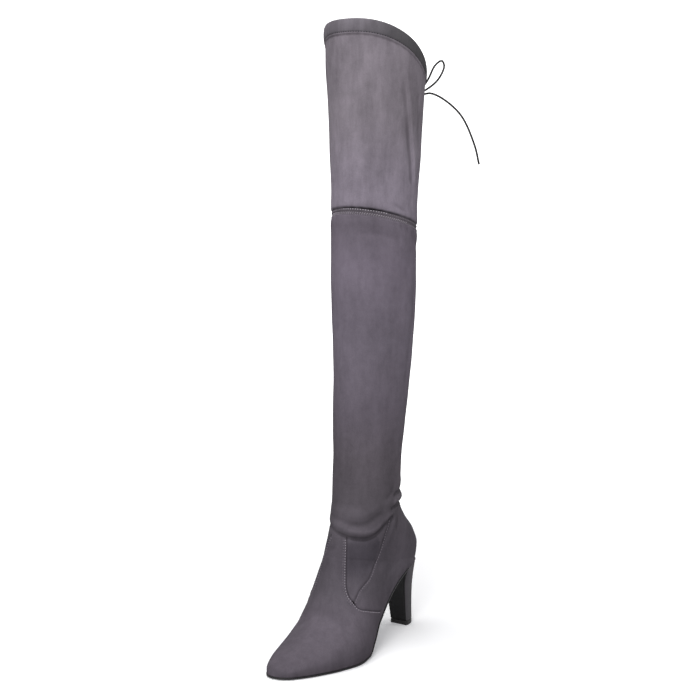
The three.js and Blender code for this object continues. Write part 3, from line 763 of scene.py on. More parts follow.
# Folds of the foot: name, spread, proud, then points on the outer side. The inner side mirrors them.
foot_folds = [
    ("instep dent", 8.0, -0.6, [(8, -128, 98), (17, -124, 95), (26, -114, 94)]),
    ("gore hollow", 6.0, -0.7, [(20, -121, 104), (25, -113, 96), (28, -106, 88), (28, -108, 80)]),
    ("vamp break", 6.0, -0.5, [(4, -160, 42), (18, -155, 37), (30, -148, 28)]),
    ("vamp break front", 5.0, -0.35, [(3, -172, 37), (16, -168, 32), (27, -162, 24)]),
    ("counter dent", 9.0, -0.6, [(32, -45, 118), (30, -30, 108), (24, -16, 100)]),
    ("waist drag", 5.0, -0.5, [(33, -95, 62), (34, -80, 76), (32, -62, 88)]),
]

relief = np.zeros(grid_s.shape)
for _, spread, proud, route in leg_folds:
    pressed(relief, on_leg(route), spread, proud, [weight for *_, weight in route])
for _, spread, proud, route in foot_folds:
    for side in (1, -1):
        places, _ = laid_on(form_tree, np.array(route) * (side, 1, 1))
        pressed(relief, places, spread, proud, [1] * len(route))

# Slack of the cloth over the whole leg: long waves and short ones, round a line through its middle
LEG_MIDDLE_Y, LEG_RADIUS = -62, 45
bearing = np.arctan2(form_points[..., 0], -(form_points[..., 1] - LEG_MIDDLE_Y))
height = form_points[..., 2]
leg_share = ease(height, 150, 220)
long_waves = np.sin(height / 19 + 2.2 * np.sin(bearing))
short_waves = np.sin(height / 8.3 + 3 * np.cos(bearing + 0.6))
relief += leg_share * 0.28 * long_waves * np.sin(height / 47 + bearing)
relief += leg_share * 0.16 * short_waves * np.sin(2 * bearing + height / 31)

# The knee seam: the thigh panel's edge is lapped over a stitched band, and the leg gathers under it.
# It lies open in front on the outer side, and is drawn tight elsewhere.
BAND_GROOVE = 4.1
arc = bearing * LEG_RADIUS
open_seam = 0.62 + 0.38 * np.exp(-((bearing - 0.62) / 0.6) ** 2)
open_seam = open_seam + 0.12 * np.sin(arc / 5.3) * np.sin(arc / 2.3)
relief += 0.75 * np.exp(-((above_knee - 5) / 10) ** 2) * (above_knee > -1.2)
relief -= 1.7 * open_seam * np.exp(-(above_knee / 1.1) ** 2)
relief -= 0.35 * ease(above_knee, -8.5, -6.8) * (1 - ease(above_knee, -0.9, 0))
relief -= 0.45 * (1.25 - open_seam) * np.exp(-((above_knee + BAND_GROOVE) / 0.75) ** 2)
relief += 0.55 * np.exp(-((above_knee + 14) / 6.5) ** 2)
gather = np.sin(arc / 1.25 + 1.7 * np.sin(arc / 7)) + 0.6 * np.sin(arc / 2.1 + 2)
uneven = 0.6 + 0.4 * np.sin(arc / 11 + 1)
relief += 0.2 * gather * uneven * np.exp(-((above_knee + 10.5) / 5) ** 2)
gather_above = np.sin(arc / 1.7 + 2.2 * np.sin(arc / 9))
relief += 0.16 * gather_above * uneven * np.exp(-((above_knee - 3.4) / 3.2) ** 2)

# The cuff: the edge is turned in over the tie, which fills it, and stitched down along its lower edge
CUFF_GROOVE = 1.4
inside_cuff = ease(above_cuff, -0.7, 0.35)
relief += 1.0 * inside_cuff
relief += 0.65 * np.sin(np.pi * np.clip((above_cuff - 1.6) / 12.0, 0, 1)) ** 0.8
relief -= 0.55 * np.exp(-((above_cuff - CUFF_GROOVE) / 0.6) ** 2)
relief -= 0.35 * np.exp(-((above_cuff + 1.2) / 1.4) ** 2)
pucker = np.sin(arc / 1.15 + 1.4 * np.sin(arc / 6))
relief += 0.12 * pucker * np.exp(-((above_cuff - 2.2) / 2.6) ** 2)
relief += 0.09 * pucker * np.exp(-((above_cuff + 2.5) / 3.0) ** 2)
from_knot = form_points[..., 0] - KNOT[0]
behind_leg = ease(form_points[..., 1], -30, -12)
drawn = behind_leg * np.exp(-(from_knot / 24) ** 2) * np.exp(-((above_cuff - 6) / 9) ** 2)
relief += drawn * (0.7 * np.cos(from_knot / 1.5) - 0.5)

# Seams of the foot, on the outer side. The inner side has the same ones, mirrored.
seam_routes = {
    "front_seam": [
        (9.6, -121.2, 119), (12.2, -124.6, 111.3), (13.5, -126.9, 103.6), (15.3, -129.6, 94.1),
        (17.2, -132.5, 82.7), (18.4, -134.1, 76.1), (20.4, -134.9, 69.9), (23.6, -135, 63.8),
        (27.3, -133.6, 59.2),
    ],
    "join_seam": [
        (27.3, -133.6, 59.2), (30.8, -132.1, 54.6), (33.2, -128.4, 51.8), (35, -122, 50),
        (36.2, -113.9, 47.6), (35.2, -104, 44.6), (33.4, -96, 42.2),
    ],
    "gore_seam": [
        (27.3, -133.6, 59.2), (28.1, -124, 70.2), (29, -118.5, 74.2), (29.9, -111, 78.8),
        (29.2, -99.8, 90.8), (30, -91, 104.7), (31, -83.5, 120.1), (33.6, -78.2, 134),
    ],
}
seams = {name: laid_on(form_tree, through(route, 1.0)) for name, route in seam_routes.items()}


def beside(points, line, normals):
    """How far each point is from a seam: to which side, and how far from the seam's ends."""
    ahead = unit(np.gradient(line, axis=0))
    across = unit(np.cross(ahead, normals))
    points = points.copy()
    points[..., 0] = np.abs(points[..., 0])
    flat = points.reshape(-1, 3)
    side, gap = np.full(len(flat), 40.0), np.full(len(flat), 40.0)
    low, high = line.min(axis=0) - 30, line.max(axis=0) + 30
    near = np.where(np.all((flat > low) & (flat < high), axis=-1))[0]
    _, which = nearest_on(line, flat[near])
    offset = flat[near] - line[which]
    side[near] = (offset * across[which]).sum(axis=-1)
    beyond = np.where((which == 0) | (which == len(line) - 1), (offset * ahead[which]).sum(axis=-1), 0)
    gap[near] = np.abs(beyond)
    return side.reshape(points.shape[:-1]), gap.reshape(points.shape[:-1])


seam_side = {}
for name, (line, normals) in seams.items():
    side, gap = beside(form_points, line, normals)
    on_seam = 1 - ease(gap, 1.0, 5.0)
    relief -= 0.42 * np.exp(-((side / 0.9) ** 2)) * on_seam
    relief += 0.22 * np.exp(-(((np.abs(side) - 3.0) / 1.6) ** 2)) * on_seam
    seam_side[name] = np.clip(np.where(gap > 3, 40.0, side), -40, 40)


def spread_out(values, rows, columns):
    """The mean of the values round each point of the grid, over so many rows and columns each way."""
    for axis, reach in ((0, rows), (1, columns)):
        padding = [(reach, reach) if k == axis else (0, 0) for k in (0, 1)]
        padded = np.pad(values, padding, mode="edge")
        summed = np.cumsum(np.insert(padded, 0, 0, axis=axis), axis=axis)
        width = 2 * reach + 1
        if axis == 0:
            values = (summed[width:] - summed[:-width]) / width
        else:
            values = (summed[:, width:] - summed[:, :-width]) / width
    return values


# How far each point lies below the folds round it. The suede paints shade where this is above 0 and
# light on the ridges below 0.
hollow = spread_out(spread_out(relief, 4, 3), 4, 3) - relief
skin = form_points + form_facing * relief[..., None]
lining_skin = form_points + form_facing * (LINING_SHARE * relief - WALL)[..., None]
skin_tree = tree_of(skin)


def upper_mesh():
    """The outside, the lining at half as many points, a rounded collar edge and the sole's edge."""
    count = AROUND + 1
    top_out, top_in = skin[-1], lining_skin[-1]
    up = unit(skin[-1] - skin[-3])
    middle, half = (top_out + top_in) / 2, (top_out - top_in) / 2
    rim = []
    for k in (1, 2, 3):
        turn = math.pi * k / 4
        rim.append(middle + half * math.cos(turn) + up * (RIM_RISE * math.sin(turn)))
    outside = np.concatenate([skin, np.array(rim)])
    coarse_rows = np.arange(0, len(ring_s), 2)
    inside = lining_skin[coarse_rows][:, ::2]
    points = np.concatenate([outside.reshape(-1, 3), inside.reshape(-1, 3)])
    faces, inner_faces = [], []

    def out(i, j):
        return i * count + j

    inner_count = AROUND // 2 + 1
    start = outside.shape[0] * count

    def into(i, j):
        return start + i * inner_count + j

    for i in range(outside.shape[0] - 1):
        for j in range(AROUND):
            faces.append((out(i, j), out(i + 1, j), out(i + 1, j + 1), out(i, j + 1)))
    for i in range(len(coarse_rows) - 1):
        for j in range(inner_count - 1):
            inner_faces.append((into(i, j), into(i, j + 1), into(i + 1, j + 1), into(i + 1, j)))
    last_out, last_in = outside.shape[0] - 1, len(coarse_rows) - 1
    for j in range(inner_count - 1):
        a, b, c = out(last_out, 2 * j), out(last_out, 2 * j + 1), out(last_out, 2 * j + 2)
        d, e = into(last_in, j), into(last_in, j + 1)
        faces += [(a, d, b), (b, e, c), (b, d, e)]
    for i in range(len(coarse_rows) - 1):
        if ring_s[coarse_rows[i + 1]] > SEAT_ROW + 1e-6:
            break
        for j_out, j_in, turned in ((0, 0, False), (AROUND, inner_count - 1, True)):
            a, b, c = out(2 * i, j_out), out(2 * i + 1, j_out), out(2 * i + 2, j_out)
            d, e = into(i, j_in), into(i + 1, j_in)
            for face in ((a, b, d), (b, c, e), (b, e, d)):
                faces.append(tuple(reversed(face)) if turned else face)
    mesh = bpy.data.meshes.new("upper_skin")
    mesh.from_pydata([tuple(point) for point in points * MM], [], faces + inner_faces)
    per_point = {
        "above_knee": above_knee,
        "above_cuff": above_cuff,
        "bearing": bearing,
        "hollow": hollow,
        "knee_open": open_seam,
        **seam_side,
    }
    for name, values in per_point.items():
        outer_values = np.concatenate([values, np.repeat(values[-1:], len(rim), axis=0)])
        inner_values = values[coarse_rows][:, ::2]
        layer = mesh.attributes.new(name, "FLOAT", "POINT")
        layer.data.foreach_set("value", np.concatenate([outer_values.ravel(), inner_values.ravel()]))
    slots = np.zeros(len(faces) + len(inner_faces), int)
    slots[len(faces):] = 1
    mesh.polygons.foreach_set("material_index", slots)
    mesh.polygons.foreach_set("use_smooth", [True] * len(slots))
    shell = bmesh.new()
    shell.from_mesh(mesh)
    bmesh.ops.remove_doubles(shell, verts=shell.verts, dist=2e-6)
    bmesh.ops.dissolve_degenerate(shell, edges=shell.edges, dist=1e-6)
    bmesh.ops.recalc_face_normals(shell, faces=shell.faces)
    shell.to_mesh(mesh)
    shell.free()
    return mesh


# The suede's colours from the toe up to the knee seam, by height in millimetres: its own tone, with
# painted shade that darkens the lower leg and is deepest round the instep
suede_tone_and_shade_by_height = [
    (5, (88, 82, 90)), (42, (89, 83, 91)), (68, (84, 79, 86)), (104, (79, 74, 81)), (160, (85, 80, 86)),
    (200, (92, 86, 93)), (250, (101, 94, 104)), (320, (110, 103, 114)), (395, (113, 105, 117)),
    (448, (104, 97, 107)),
]
GORE = (66, 62, 69)
THIGH_LOW, THIGH_TOP = (138, 130, 142), (130, 123, 131)
# The last of these is the cuff in painted shade, where it turns away from the light towards the outer
# side.
BAND, CUFF, CUFF_IN_PAINTED_SHADE = (100, 94, 101), (114, 109, 116), (84, 82, 85)


def suede():
    """Faux suede: a short nap that brushing has left lighter and darker in soft clouds, with painted
    light on its ridges and painted shade in its creases. The thigh panel's nap lies the other way and is
    lighter."""
    shader = Shader("grey_suede", Specular_IOR_Level=0.06)
    z_mm = shader.parts(shader.place())[2] * 1000.0
    knee, cuff = shader.attribute("above_knee"), shader.attribute("above_cuff")
    front, join, gore = (shader.attribute(name) for name in ("front_seam", "join_seam", "gore_seam"))
    way_round, dip = shader.attribute("bearing"), shader.attribute("hollow")
    # Colour by height: the suede's own tone, with painted shade lower down the leg and deepest round the
    # instep.
    ramp = [(height / 500.0, linear(*tint)) for height, tint in suede_tone_and_shade_by_height]
    lower = shader.node("ValToRGB", {"ramp": ramp}, Fac=z_mm / 500.0)
    in_gore = (1.0 - front.step(-0.8, 0.0)) * (1.0 - gore.step(-4.0, 0.0))
    in_gore = in_gore * z_mm.step(70.0, 96.0) * (1.0 - z_mm.step(110.0, 126.0))
    lower = shader.mix(in_gore * 0.85, lower, linear(*GORE))
    thigh = shader.mix(z_mm.step(460.0, 560.0), linear(*THIGH_LOW), linear(*THIGH_TOP))
    colour = shader.mix(knee.step(-7.0, -5.6), lower, linear(*BAND))
    colour = shader.mix(knee.step(-0.4, 0.5), colour, thigh)
    # The cuff darkens with painted shade as it turns towards the outer side.
    cuff_with_painted_shade = shader.mix(way_round.step(0.2, 1.3), linear(*CUFF), linear(*CUFF_IN_PAINTED_SHADE))
    colour = shader.mix(cuff.step(0.6, 1.4), colour, cuff_with_painted_shade)
    on_thigh = knee.step(-0.4, 0.5)
    clouds = shader.noise(46.0, 2.0, 0.5, (1.0, 1.0, 0.5))
    brushed = shader.noise(15.0, 3.0, 0.6, (1.0, 1.0, 0.32))
    strokes = shader.noise(5.0, 2.0, 0.6, (1.0, 1.0, 0.2))
    smudges = shader.noise(7.5, 2.0, 0.55)
    nap = shader.noise(1.2, 2.0, 0.7)
    tone = 1.0 + clouds * 0.3 + brushed * (on_thigh * 0.12 + 0.2) + strokes * (on_thigh * 0.06 + 0.1)
    tone = tone + smudges * 0.14 + nap * 0.16
    # Painted light: the lower leg is lighter on its outer side, fading out up the calf.
    tone = tone * (1.0 + way_round.step(0.9, 1.6) * (1.0 - z_mm.step(150.0, 320.0)) * 0.24)
    # Painted shade: the thigh darkens towards its outer side.
    tone = tone * (1.0 - way_round.step(0.0, 1.0) * on_thigh * 0.07)
    # Painted light on the ridges of the folds, and painted shade in their hollows.
    tone = tone * (1.0 + (-dip).step(0.1, 0.9) * 0.14 - dip.step(0.08, 0.8) * 0.34)
    opened = shader.attribute("knee_open")
    # Painted shade in the knee seam's open gap, just above it and in the band's groove, in the cuff's
    # groove and at its top edge, and along the seams of the foot.
    crease = knee.bell(1.0) * opened * 0.8 + (knee + BAND_GROOVE).bell(0.6) * (1.3 - opened) * 0.25
    crease = crease + (knee - 1.5).bell(3.2) * opened * 0.16
    crease = crease + (cuff - CUFF_GROOVE).bell(0.5) * 0.1 + (cuff - 17.0).bell(2.2) * 0.35
    crease = crease + front.bell(0.55) * 0.5 + join.bell(0.55) * 0.42 + gore.bell(0.5) * 0.3
    tone = tone * (1.0 - crease.clamp() * 0.92)
    grain = shader.noise(0.55, 2.0, 0.6) * 0.5 + shader.noise(2.2, 3.0, 0.6) * 0.45
    grooves = front.bell(0.6) + join.bell(0.6) + gore.bell(0.6) + (knee + BAND_GROOVE).bell(0.7)
    raised = grain * 0.35 - grooves * 1.1
    roughness = nap * 0.04 + 0.93
    return shader.finish(shader.shade(colour, tone), roughness, raised, 0.28)


def knit_lining():
    """The knit behind the suede, brushed soft, in a darker grey."""
    shader = Shader("knit_lining", Specular_IOR_Level=0.15)
    waves = shader.node(
        "TexWave", {"bands_direction": "Z"}, output=1, Vector=shader.place(), Scale=260.0, Distortion=1.2
    )
    cloud = shader.noise(30.0, 2.0)
    colour = shader.shade(
        shader.mix(cloud * 0.5 + 0.5, linear(70, 66, 71), linear(84, 79, 85)), waves * 0.12 + 0.92
    )
    return shader.finish(colour, cloud * 0.03 + 0.9, waves, 0.15)


upper_skin = linked("upper_skin", upper_mesh())
upper_skin.data.materials.append(suede())
upper_skin.data.materials.append(knit_lining())
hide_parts("upper")
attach(upper_skin, "root")

# Stitches: polyester thread in short stitches, laid along the cuff, the two rows under the knee seam,
# the seams of the foot and round the eyelets. One tree lays them all along lines on the skin.


def stitch_tree():
    """Lays rounded stitches along a line, each turned to lie flat on the skin."""
    tree = bpy.data.node_groups.new("stitches", "GeometryNodeTree")
    face = tree.interface
    face.new_socket("Geometry", in_out="INPUT", socket_type="NodeSocketGeometry")
    for name, value in (("Pitch", 0.0028), ("Length", 0.0019), ("Width", 0.0006), ("Slant", 0.0)):
        face.new_socket(name, in_out="INPUT", socket_type="NodeSocketFloat").default_value = value
    face.new_socket("Seed", in_out="INPUT", socket_type="NodeSocketInt").default_value = 3
    face.new_socket("Thread", in_out="INPUT", socket_type="NodeSocketMaterial")
    face.new_socket("Geometry", in_out="OUTPUT", socket_type="NodeSocketGeometry")

    def node(kind, settings=None, **links):
        made = tree.nodes.new(kind)
        for key, value in (settings or {}).items():
            setattr(made, key, value)
        for key, value in links.items():
            socket = made.inputs[key.replace("_", " ")]
            if isinstance(value, bpy.types.NodeSocket):
                tree.links.new(value, socket)
            else:
                socket.default_value = value
        return made

    given = node("NodeGroupInput").outputs
    line = node("GeometryNodeMeshToCurve", Mesh=given["Geometry"])
    spots = node(
        "GeometryNodeResampleCurve", {"mode": "LENGTH"}, Curve=line.outputs[0], Length=given["Pitch"]
    )
    tangent = node("GeometryNodeInputTangent")
    outwards = node("GeometryNodeInputNamedAttribute", {"data_type": "FLOAT_VECTOR"}, Name="outwards")
    ahead = node("FunctionNodeAlignRotationToVector", {"axis": "X"}, Vector=tangent.outputs[0])
    stood = node(
        "FunctionNodeAlignRotationToVector",
        {"axis": "Z", "pivot_axis": "X"},
        Rotation=ahead.outputs[0],
        Vector=outwards.outputs[0],
    )
    wander = node("FunctionNodeRandomValue", Seed=given["Seed"])
    wander.inputs[2].default_value = -0.12
    wander.inputs[3].default_value = 0.12
    slanted = node("ShaderNodeMath", {"operation": "ADD"})
    tree.links.new(wander.outputs[1], slanted.inputs[0])
    tree.links.new(given["Slant"], slanted.inputs[1])
    yaw = node("ShaderNodeCombineXYZ")
    tree.links.new(slanted.outputs[0], yaw.inputs[2])
    turned = node("FunctionNodeRotateRotation", {"rotation_space": "LOCAL"}, Rotation=stood.outputs[0])
    tree.links.new(yaw.outputs[0], turned.inputs[1])
    ball = node("GeometryNodeMeshUVSphere", Segments=7, Rings=5, Radius=0.5)
    size = node("ShaderNodeCombineXYZ", X=given["Length"], Y=given["Width"], Z=given["Width"])
    stitch = node("GeometryNodeTransform", Geometry=ball.outputs[0], Scale=size.outputs[0])
    laid = node(
        "GeometryNodeInstanceOnPoints",
        Points=spots.outputs[0],
        Instance=stitch.outputs[0],
        Rotation=turned.outputs[0],
    )
    real = node("GeometryNodeRealizeInstances", Geometry=laid.outputs[0])
    smooth = node("GeometryNodeSetShadeSmooth", Geometry=real.outputs[0])
    threaded = node("GeometryNodeSetMaterial", Geometry=smooth.outputs[0], Material=given["Thread"])
    node("NodeGroupOutput", Geometry=threaded.outputs[0])
    return tree


stitches = stitch_tree()


def thread(name, colour):
    """Twisted polyester thread with a slight gloss."""
    shader = Shader(name, Specular_IOR_Level=0.4)
    twist = shader.noise(0.4, 2.0)
    return shader.finish(shader.shade(colour, twist * 0.12 + 1.0), twist * 0.05 + 0.6)


def row_of_stitches(name, lines, finish, **sizes):
    """Stitches along lines of points on the skin, each line with the way it faces."""
    points, normals, edges = [], [], []
    for line, outward, closed in lines:
        first = len(points)
        points += list(line)
        normals += list(outward)
        edges += [(first + k, first + k + 1) for k in range(len(line) - 1)]
        if closed:
            edges.append((first + len(line) - 1, first))
    mesh = bpy.data.meshes.new(name)
    mesh.from_pydata([tuple(point) for point in np.array(points) * MM], edges, [])
    layer = mesh.attributes.new("outwards", "FLOAT_VECTOR", "POINT")
    layer.data.foreach_set("vector", np.array(normals).ravel())
    piece = linked(name, mesh)
    modifier = piece.modifiers.new("stitches", "NODES")
    modifier.node_group = stitches
    items = stitches.interface.items_tree
    sockets = {item.name: item.identifier for item in items if item.in_out == "INPUT"}
    for key, value in sizes.items():
        modifier[sockets[key]] = value
    modifier[sockets["Thread"]] = finish
    bpy.context.view_layer.update()
    seen = piece.evaluated_get(bpy.context.evaluated_depsgraph_get())
    laid = bpy.data.meshes.new_from_object(seen)
    laid.name = name
    piece.modifiers.remove(modifier)
    piece.data = laid
    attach(piece, "root")


def level_line(walked, distance, lift, start=0, end=AROUND):
    """A line at a distance above a seam, lifted off the skin: round the leg, or along part of it."""
    line, normals = [], []
    for j in range(start, end):
        column = walked[:, j]
        line.append([np.interp(distance, column, skin[:, j, k]) for k in range(3)])
        normals.append([np.interp(distance, column, form_facing[:, j, k]) for k in range(3)])
    normals = unit(np.array(normals))
    return np.array(line) + normals * lift, normals, end - start == AROUND


def seam_line(name, offset, lift, mirrored):
    """A line beside a seam of the foot, lifted off the skin, on the outer side or mirrored."""
    line, normals = seams[name]
    ahead = unit(np.gradient(line, axis=0))
    moved = (line + unit(np.cross(ahead, normals)) * offset)[1:-1]
    if mirrored:
        moved = moved * (-1, 1, 1)
    places, outward = laid_on(skin_tree, moved)
    return places + outward * lift, outward, False


def both_sides(name, offset, lift=0.12):
    return [seam_line(name, offset, lift, False), seam_line(name, offset, lift, True)]


pale_thread = thread("pale_thread", linear(196, 189, 199))
dark_thread = thread("dark_thread", linear(30, 28, 32))
mid_thread = thread("mid_thread", linear(128, 121, 130))
seam_thread = thread("seam_thread", linear(150, 143, 152))
soft_thread = thread("soft_thread", linear(104, 98, 106))

# The knee seam lies open between two columns of the skin's grid. Its cover seam runs a little further.
OPEN_FROM, OPEN_TO = 59, 88
COVER_FROM, COVER_TO = 44, 101
row_of_stitches(
    "cuff_stitches", [level_line(above_cuff, CUFF_GROOVE, 0.1)], dark_thread,
    Pitch=0.0027, Length=0.0013, Width=0.0012, Seed=5,
)
row_of_stitches(
    "knee_stitches", [level_line(above_knee, -1.5, 0.35, OPEN_FROM, OPEN_TO)], pale_thread,
    Pitch=0.0026, Length=0.0013, Width=0.0009, Seed=7,
)
row_of_stitches(
    "knee_stitches_round",
    [level_line(above_knee, -1.9, 0.1, OPEN_TO), level_line(above_knee, -1.9, 0.1, 0, OPEN_FROM)],
    mid_thread, Pitch=0.0026, Length=0.0014, Width=0.0007, Seed=8,
)
row_of_stitches(
    "knee_cover_stitches", [level_line(above_knee, -4.9, 0.12, COVER_FROM, COVER_TO)], seam_thread,
    Pitch=0.0024, Length=0.0022, Width=0.0008, Slant=0.9, Seed=9,
)
row_of_stitches(
    "knee_cover_stitches_low", [level_line(above_knee, -6.4, 0.12)], mid_thread,
    Pitch=0.0024, Length=0.0020, Width=0.0007, Slant=-0.9, Seed=10,
)
row_of_stitches(
    "foot_seam_stitches",
    [seam_line("front_seam", 1.6, 0.12, False), seam_line("join_seam", 1.5, 0.12, False)],
    seam_thread, Pitch=0.0026, Length=0.0014, Width=0.0009, Seed=11,
)
row_of_stitches(
    "foot_seam_stitches_inside",
    [seam_line("front_seam", 1.6, 0.12, True), seam_line("join_seam", 1.5, 0.12, True)],
    soft_thread, Pitch=0.0026, Length=0.0014, Width=0.0009, Seed=12,
)
row_of_stitches(
    "foot_seam_stitches_far",
    both_sides("front_seam", 3.6),
    soft_thread, Pitch=0.0026, Length=0.0015, Width=0.0007, Seed=13,
)
row_of_stitches(
    "gore_stitches", both_sides("gore_seam", 1.5),
    soft_thread, Pitch=0.0027, Length=0.0018, Width=0.0008, Seed=15,
)


def eyelet_lines():
    """Rings of stitches round the two eyelets."""
    radius = 1.95
    lines = []
    for side in (-1, 1):
        middle, normal, _, _ = skin_tree.find_nearest(
            Vector((KNOT[0] + side * EYELET_HALF, -3.0, EYELET_Z))
        )
        normal = -np.array(normal)
        across = unit(np.cross(normal, (0.0, 0.0, 1.0)))
        up = np.cross(across, normal)
        turns = np.linspace(0, 2 * math.pi, 48, endpoint=False)
        ring = np.outer(np.cos(turns), across) + np.outer(np.sin(turns), up)
        ring = np.array(middle) + radius * ring
        lines.append((ring + normal * 0.15, np.tile(normal, (len(turns), 1)), True))
    return lines


row_of_stitches(
    "eyelet_stitches", eyelet_lines(), dark_thread,
    Pitch=0.00075, Length=0.0016, Width=0.0007, Slant=1.571, Seed=17,
)

# The sole: a thin black moulded sheet from the toe to the front of the heel, its edge half a
# millimetre outside the upper, with a shallow grain pressed into its tread.
SOLE_THICKNESS = 2.0
SOLE_MARGIN = 0.6
TOUCH = 0.3
BREAST_Y = -32.0
SOLE_GAP = 1.6


def hem(s, t, margin, raised):
    """Points at the upper's lower edge, moved outwards by a margin and raised off the sole."""
    s = np.asarray(s, float)
    t = np.full(s.shape, float(t))
    up = np.cross(np.array([1.0, 0.0, 0.0]), along_sole(s))
    return form(s, t) + facing(s, t) * margin + up * raised


def place_of(y):
    """Where along the sections the upper's lower edge reaches this y."""
    places = np.linspace(0, SEAT_ROW, 6000)
    return float(np.interp(y, split["back_y"](places), places))


def closed_loft(name, rings, finish):
    """A closed mesh between rings of points, capped at both ends, in millimetres."""
    count = len(rings[0])
    points = [point for ring in rings for point in ring]
    last = (len(rings) - 1) * count
    faces = faces_round(len(rings), count)
    faces += [tuple(range(count)), tuple(last + j for j in range(count))]
    mesh = bpy.data.meshes.new(name)
    mesh.from_pydata([tuple(point) for point in np.array(points) * MM], [], faces)
    shell = bmesh.new()
    shell.from_mesh(mesh)
    bmesh.ops.remove_doubles(shell, verts=shell.verts, dist=1e-6)
    bmesh.ops.dissolve_degenerate(shell, edges=shell.edges, dist=1e-7)
    bmesh.ops.recalc_face_normals(shell, faces=shell.faces)
    bmesh.ops.triangulate(shell, faces=[face for face in shell.faces if len(face.verts) > 4])
    shell.to_mesh(mesh)
    shell.free()
    mesh.polygons.foreach_set("use_smooth", [True] * len(mesh.polygons))
    mesh.materials.append(finish)
    return linked(name, mesh)


def sheet_rings(places, profile, across=10):
    """Rings of a sheet under or in the foot: its edge's profile on both sides, and flat between."""
    outer = [hem(places, 0, margin, raised) for margin, raised in profile]
    inner = [hem(places, 1, margin, raised) for margin, raised in reversed(profile)]
    shares = np.linspace(0, 1, across + 1)[1:-1]
    rings = []
    for i in range(len(places)):
        ring = [line[i] for line in outer]
        ring += [lerp(outer[-1][i], inner[0][i], share) for share in shares]
        ring += [line[i] for line in inner]
        ring += [lerp(inner[-1][i], outer[0][i], share) for share in shares]
        rings.append(ring)
    return rings


def moulded_rubber(name, colour, grain_mm):
    """Black moulded rubber: dull, finely grained, with dust worn into it in patches."""
    shader = Shader(name, Specular_IOR_Level=0.35)
    grain = shader.node(
        "TexVoronoi", {"feature": "DISTANCE_TO_EDGE"}, Vector=shader.place(), Scale=1.0 / (grain_mm * MM)
    )
    dust = shader.noise(14.0, 3.0) * 0.5 + 0.5
    dusty = shader.mix(dust.step(0.5, 0.9) * 0.35, colour, linear(58, 55, 58))
    tone = shader.shade(dusty, grain * 0.3 + 0.85)
    return shader.finish(tone, dust * 0.15 + 0.55, grain.clamp(), 0.12)


sole_finish = moulded_rubber("moulded_rubber", linear(25, 23, 26), 1.6)
sole_end = place_of(BREAST_Y - SOLE_GAP)
sole_places = np.concatenate([ring_s[ring_s < sole_end - 0.02], [sole_end]])
bottom = -TOUCH - SOLE_THICKNESS
sole_profile = [
    (0.1, -TOUCH), (0.45, -TOUCH - 0.08), (SOLE_MARGIN, -TOUCH - 0.4),
    (SOLE_MARGIN, bottom + 0.7), (0.4, bottom + 0.22), (-0.1, bottom + 0.02), (-0.9, bottom),
]
sole_piece = closed_loft("sole_sheet", sheet_rings(sole_places, sole_profile), sole_finish)
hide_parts("outsole")
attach(sole_piece, "root")

# The insole: a board with a soft sock over it, from the toe to the back of the seat.
insole_finish = knit_lining()
insole_profile = [(-4.2, 0.3), (-3.85, 0.7), (-3.8, 2.1), (-4.3, 2.6), (-6.0, 2.75)]
insole_places = ring_s[(ring_s > 0.35) & (ring_s < SEAT_ROW - 0.3)]
insole_rings = sheet_rings(insole_places, insole_profile)
insole_piece = closed_loft("sock_insole", insole_rings, insole_finish)
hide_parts("insole")
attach(insole_piece, "root")

# The heel: a moulded block, D-shaped from above, wrapped in the upper's suede behind and at the sides.
# Its flat front is bare black sheet, set in a little between the wrap's turned edges.
TREAD_WIDTH, TREAD_DEPTH, TREAD_THICKNESS = 22.0, 20.0, 5.0
CORNER_NARROWING, BREAST_SET_IN = 0.07, 0.45
HEEL_LOW, HEEL_TOP = (70, 68, 72), (84, 79, 86)
heel_start = place_of(BREAST_Y)
heel_places = np.concatenate([[heel_start], np.linspace(heel_start + 0.06, SEAT_ROW, 46)])
seat_edge = np.concatenate([hem(heel_places, 0, 0, -TOUCH), hem(heel_places, 1, 0, -TOUCH)[:-1][::-1]])
seat_back, seat_front = seat_edge[len(heel_places) - 1, 1], seat_edge[0, 1]
seat_half = seat_edge[:, 0].max()
heel_levels = np.array([
    [0, 0.5 * TREAD_WIDTH, 0.5 * TREAD_DEPTH, 0.5 * TREAD_DEPTH],
    [0.26, 0.55 * TREAD_WIDTH, 0.66 * TREAD_DEPTH, 0.44 * TREAD_DEPTH],
    [0.5, 0.65 * TREAD_WIDTH, 0.88 * TREAD_DEPTH, 0.38 * TREAD_DEPTH],
    [0.7, 0.83 * TREAD_WIDTH, 1.18 * TREAD_DEPTH, 0.31 * TREAD_DEPTH],
    [0.88, 1.05 * TREAD_WIDTH, 1.4 * TREAD_DEPTH, 0.18 * TREAD_DEPTH],
    [1, seat_half, -seat_front, seat_back],
]).T
heel_up, heel_half, heel_front, heel_back = (even_curve(values) for values in heel_levels)


def heel_ring(level, floor=None, inset=0.0, breast_columns=9):
    """One level of the heel: the D's outline, and its flat front set in between the corners."""
    level = np.array(float(level))
    share = (seat_edge[:, 1] - seat_front) / (seat_back - seat_front)
    x = seat_edge[:, 0] / seat_half * (heel_half(level) - inset)
    corner = np.clip(1 - share / 0.25, 0, 1) ** 2 * (1 - ease(float(level), 3.2, 4.9))
    x = x * (1 - CORNER_NARROWING * corner)
    y = lerp(-heel_front(level) + inset, heel_back(level) - inset, share)
    base = TREAD_THICKNESS + TOUCH
    z = lerp(base, seat_edge[:, 2], heel_up(level)) if floor is None else np.full(len(x), floor)
    outline = np.stack([x, y, z], axis=-1)
    steps = np.linspace(0, 1, breast_columns + 2)[1:-1]
    front = [lerp(outline[-1], outline[0], step) + (0, BREAST_SET_IN, 0) for step in steps]
    return list(outline) + front


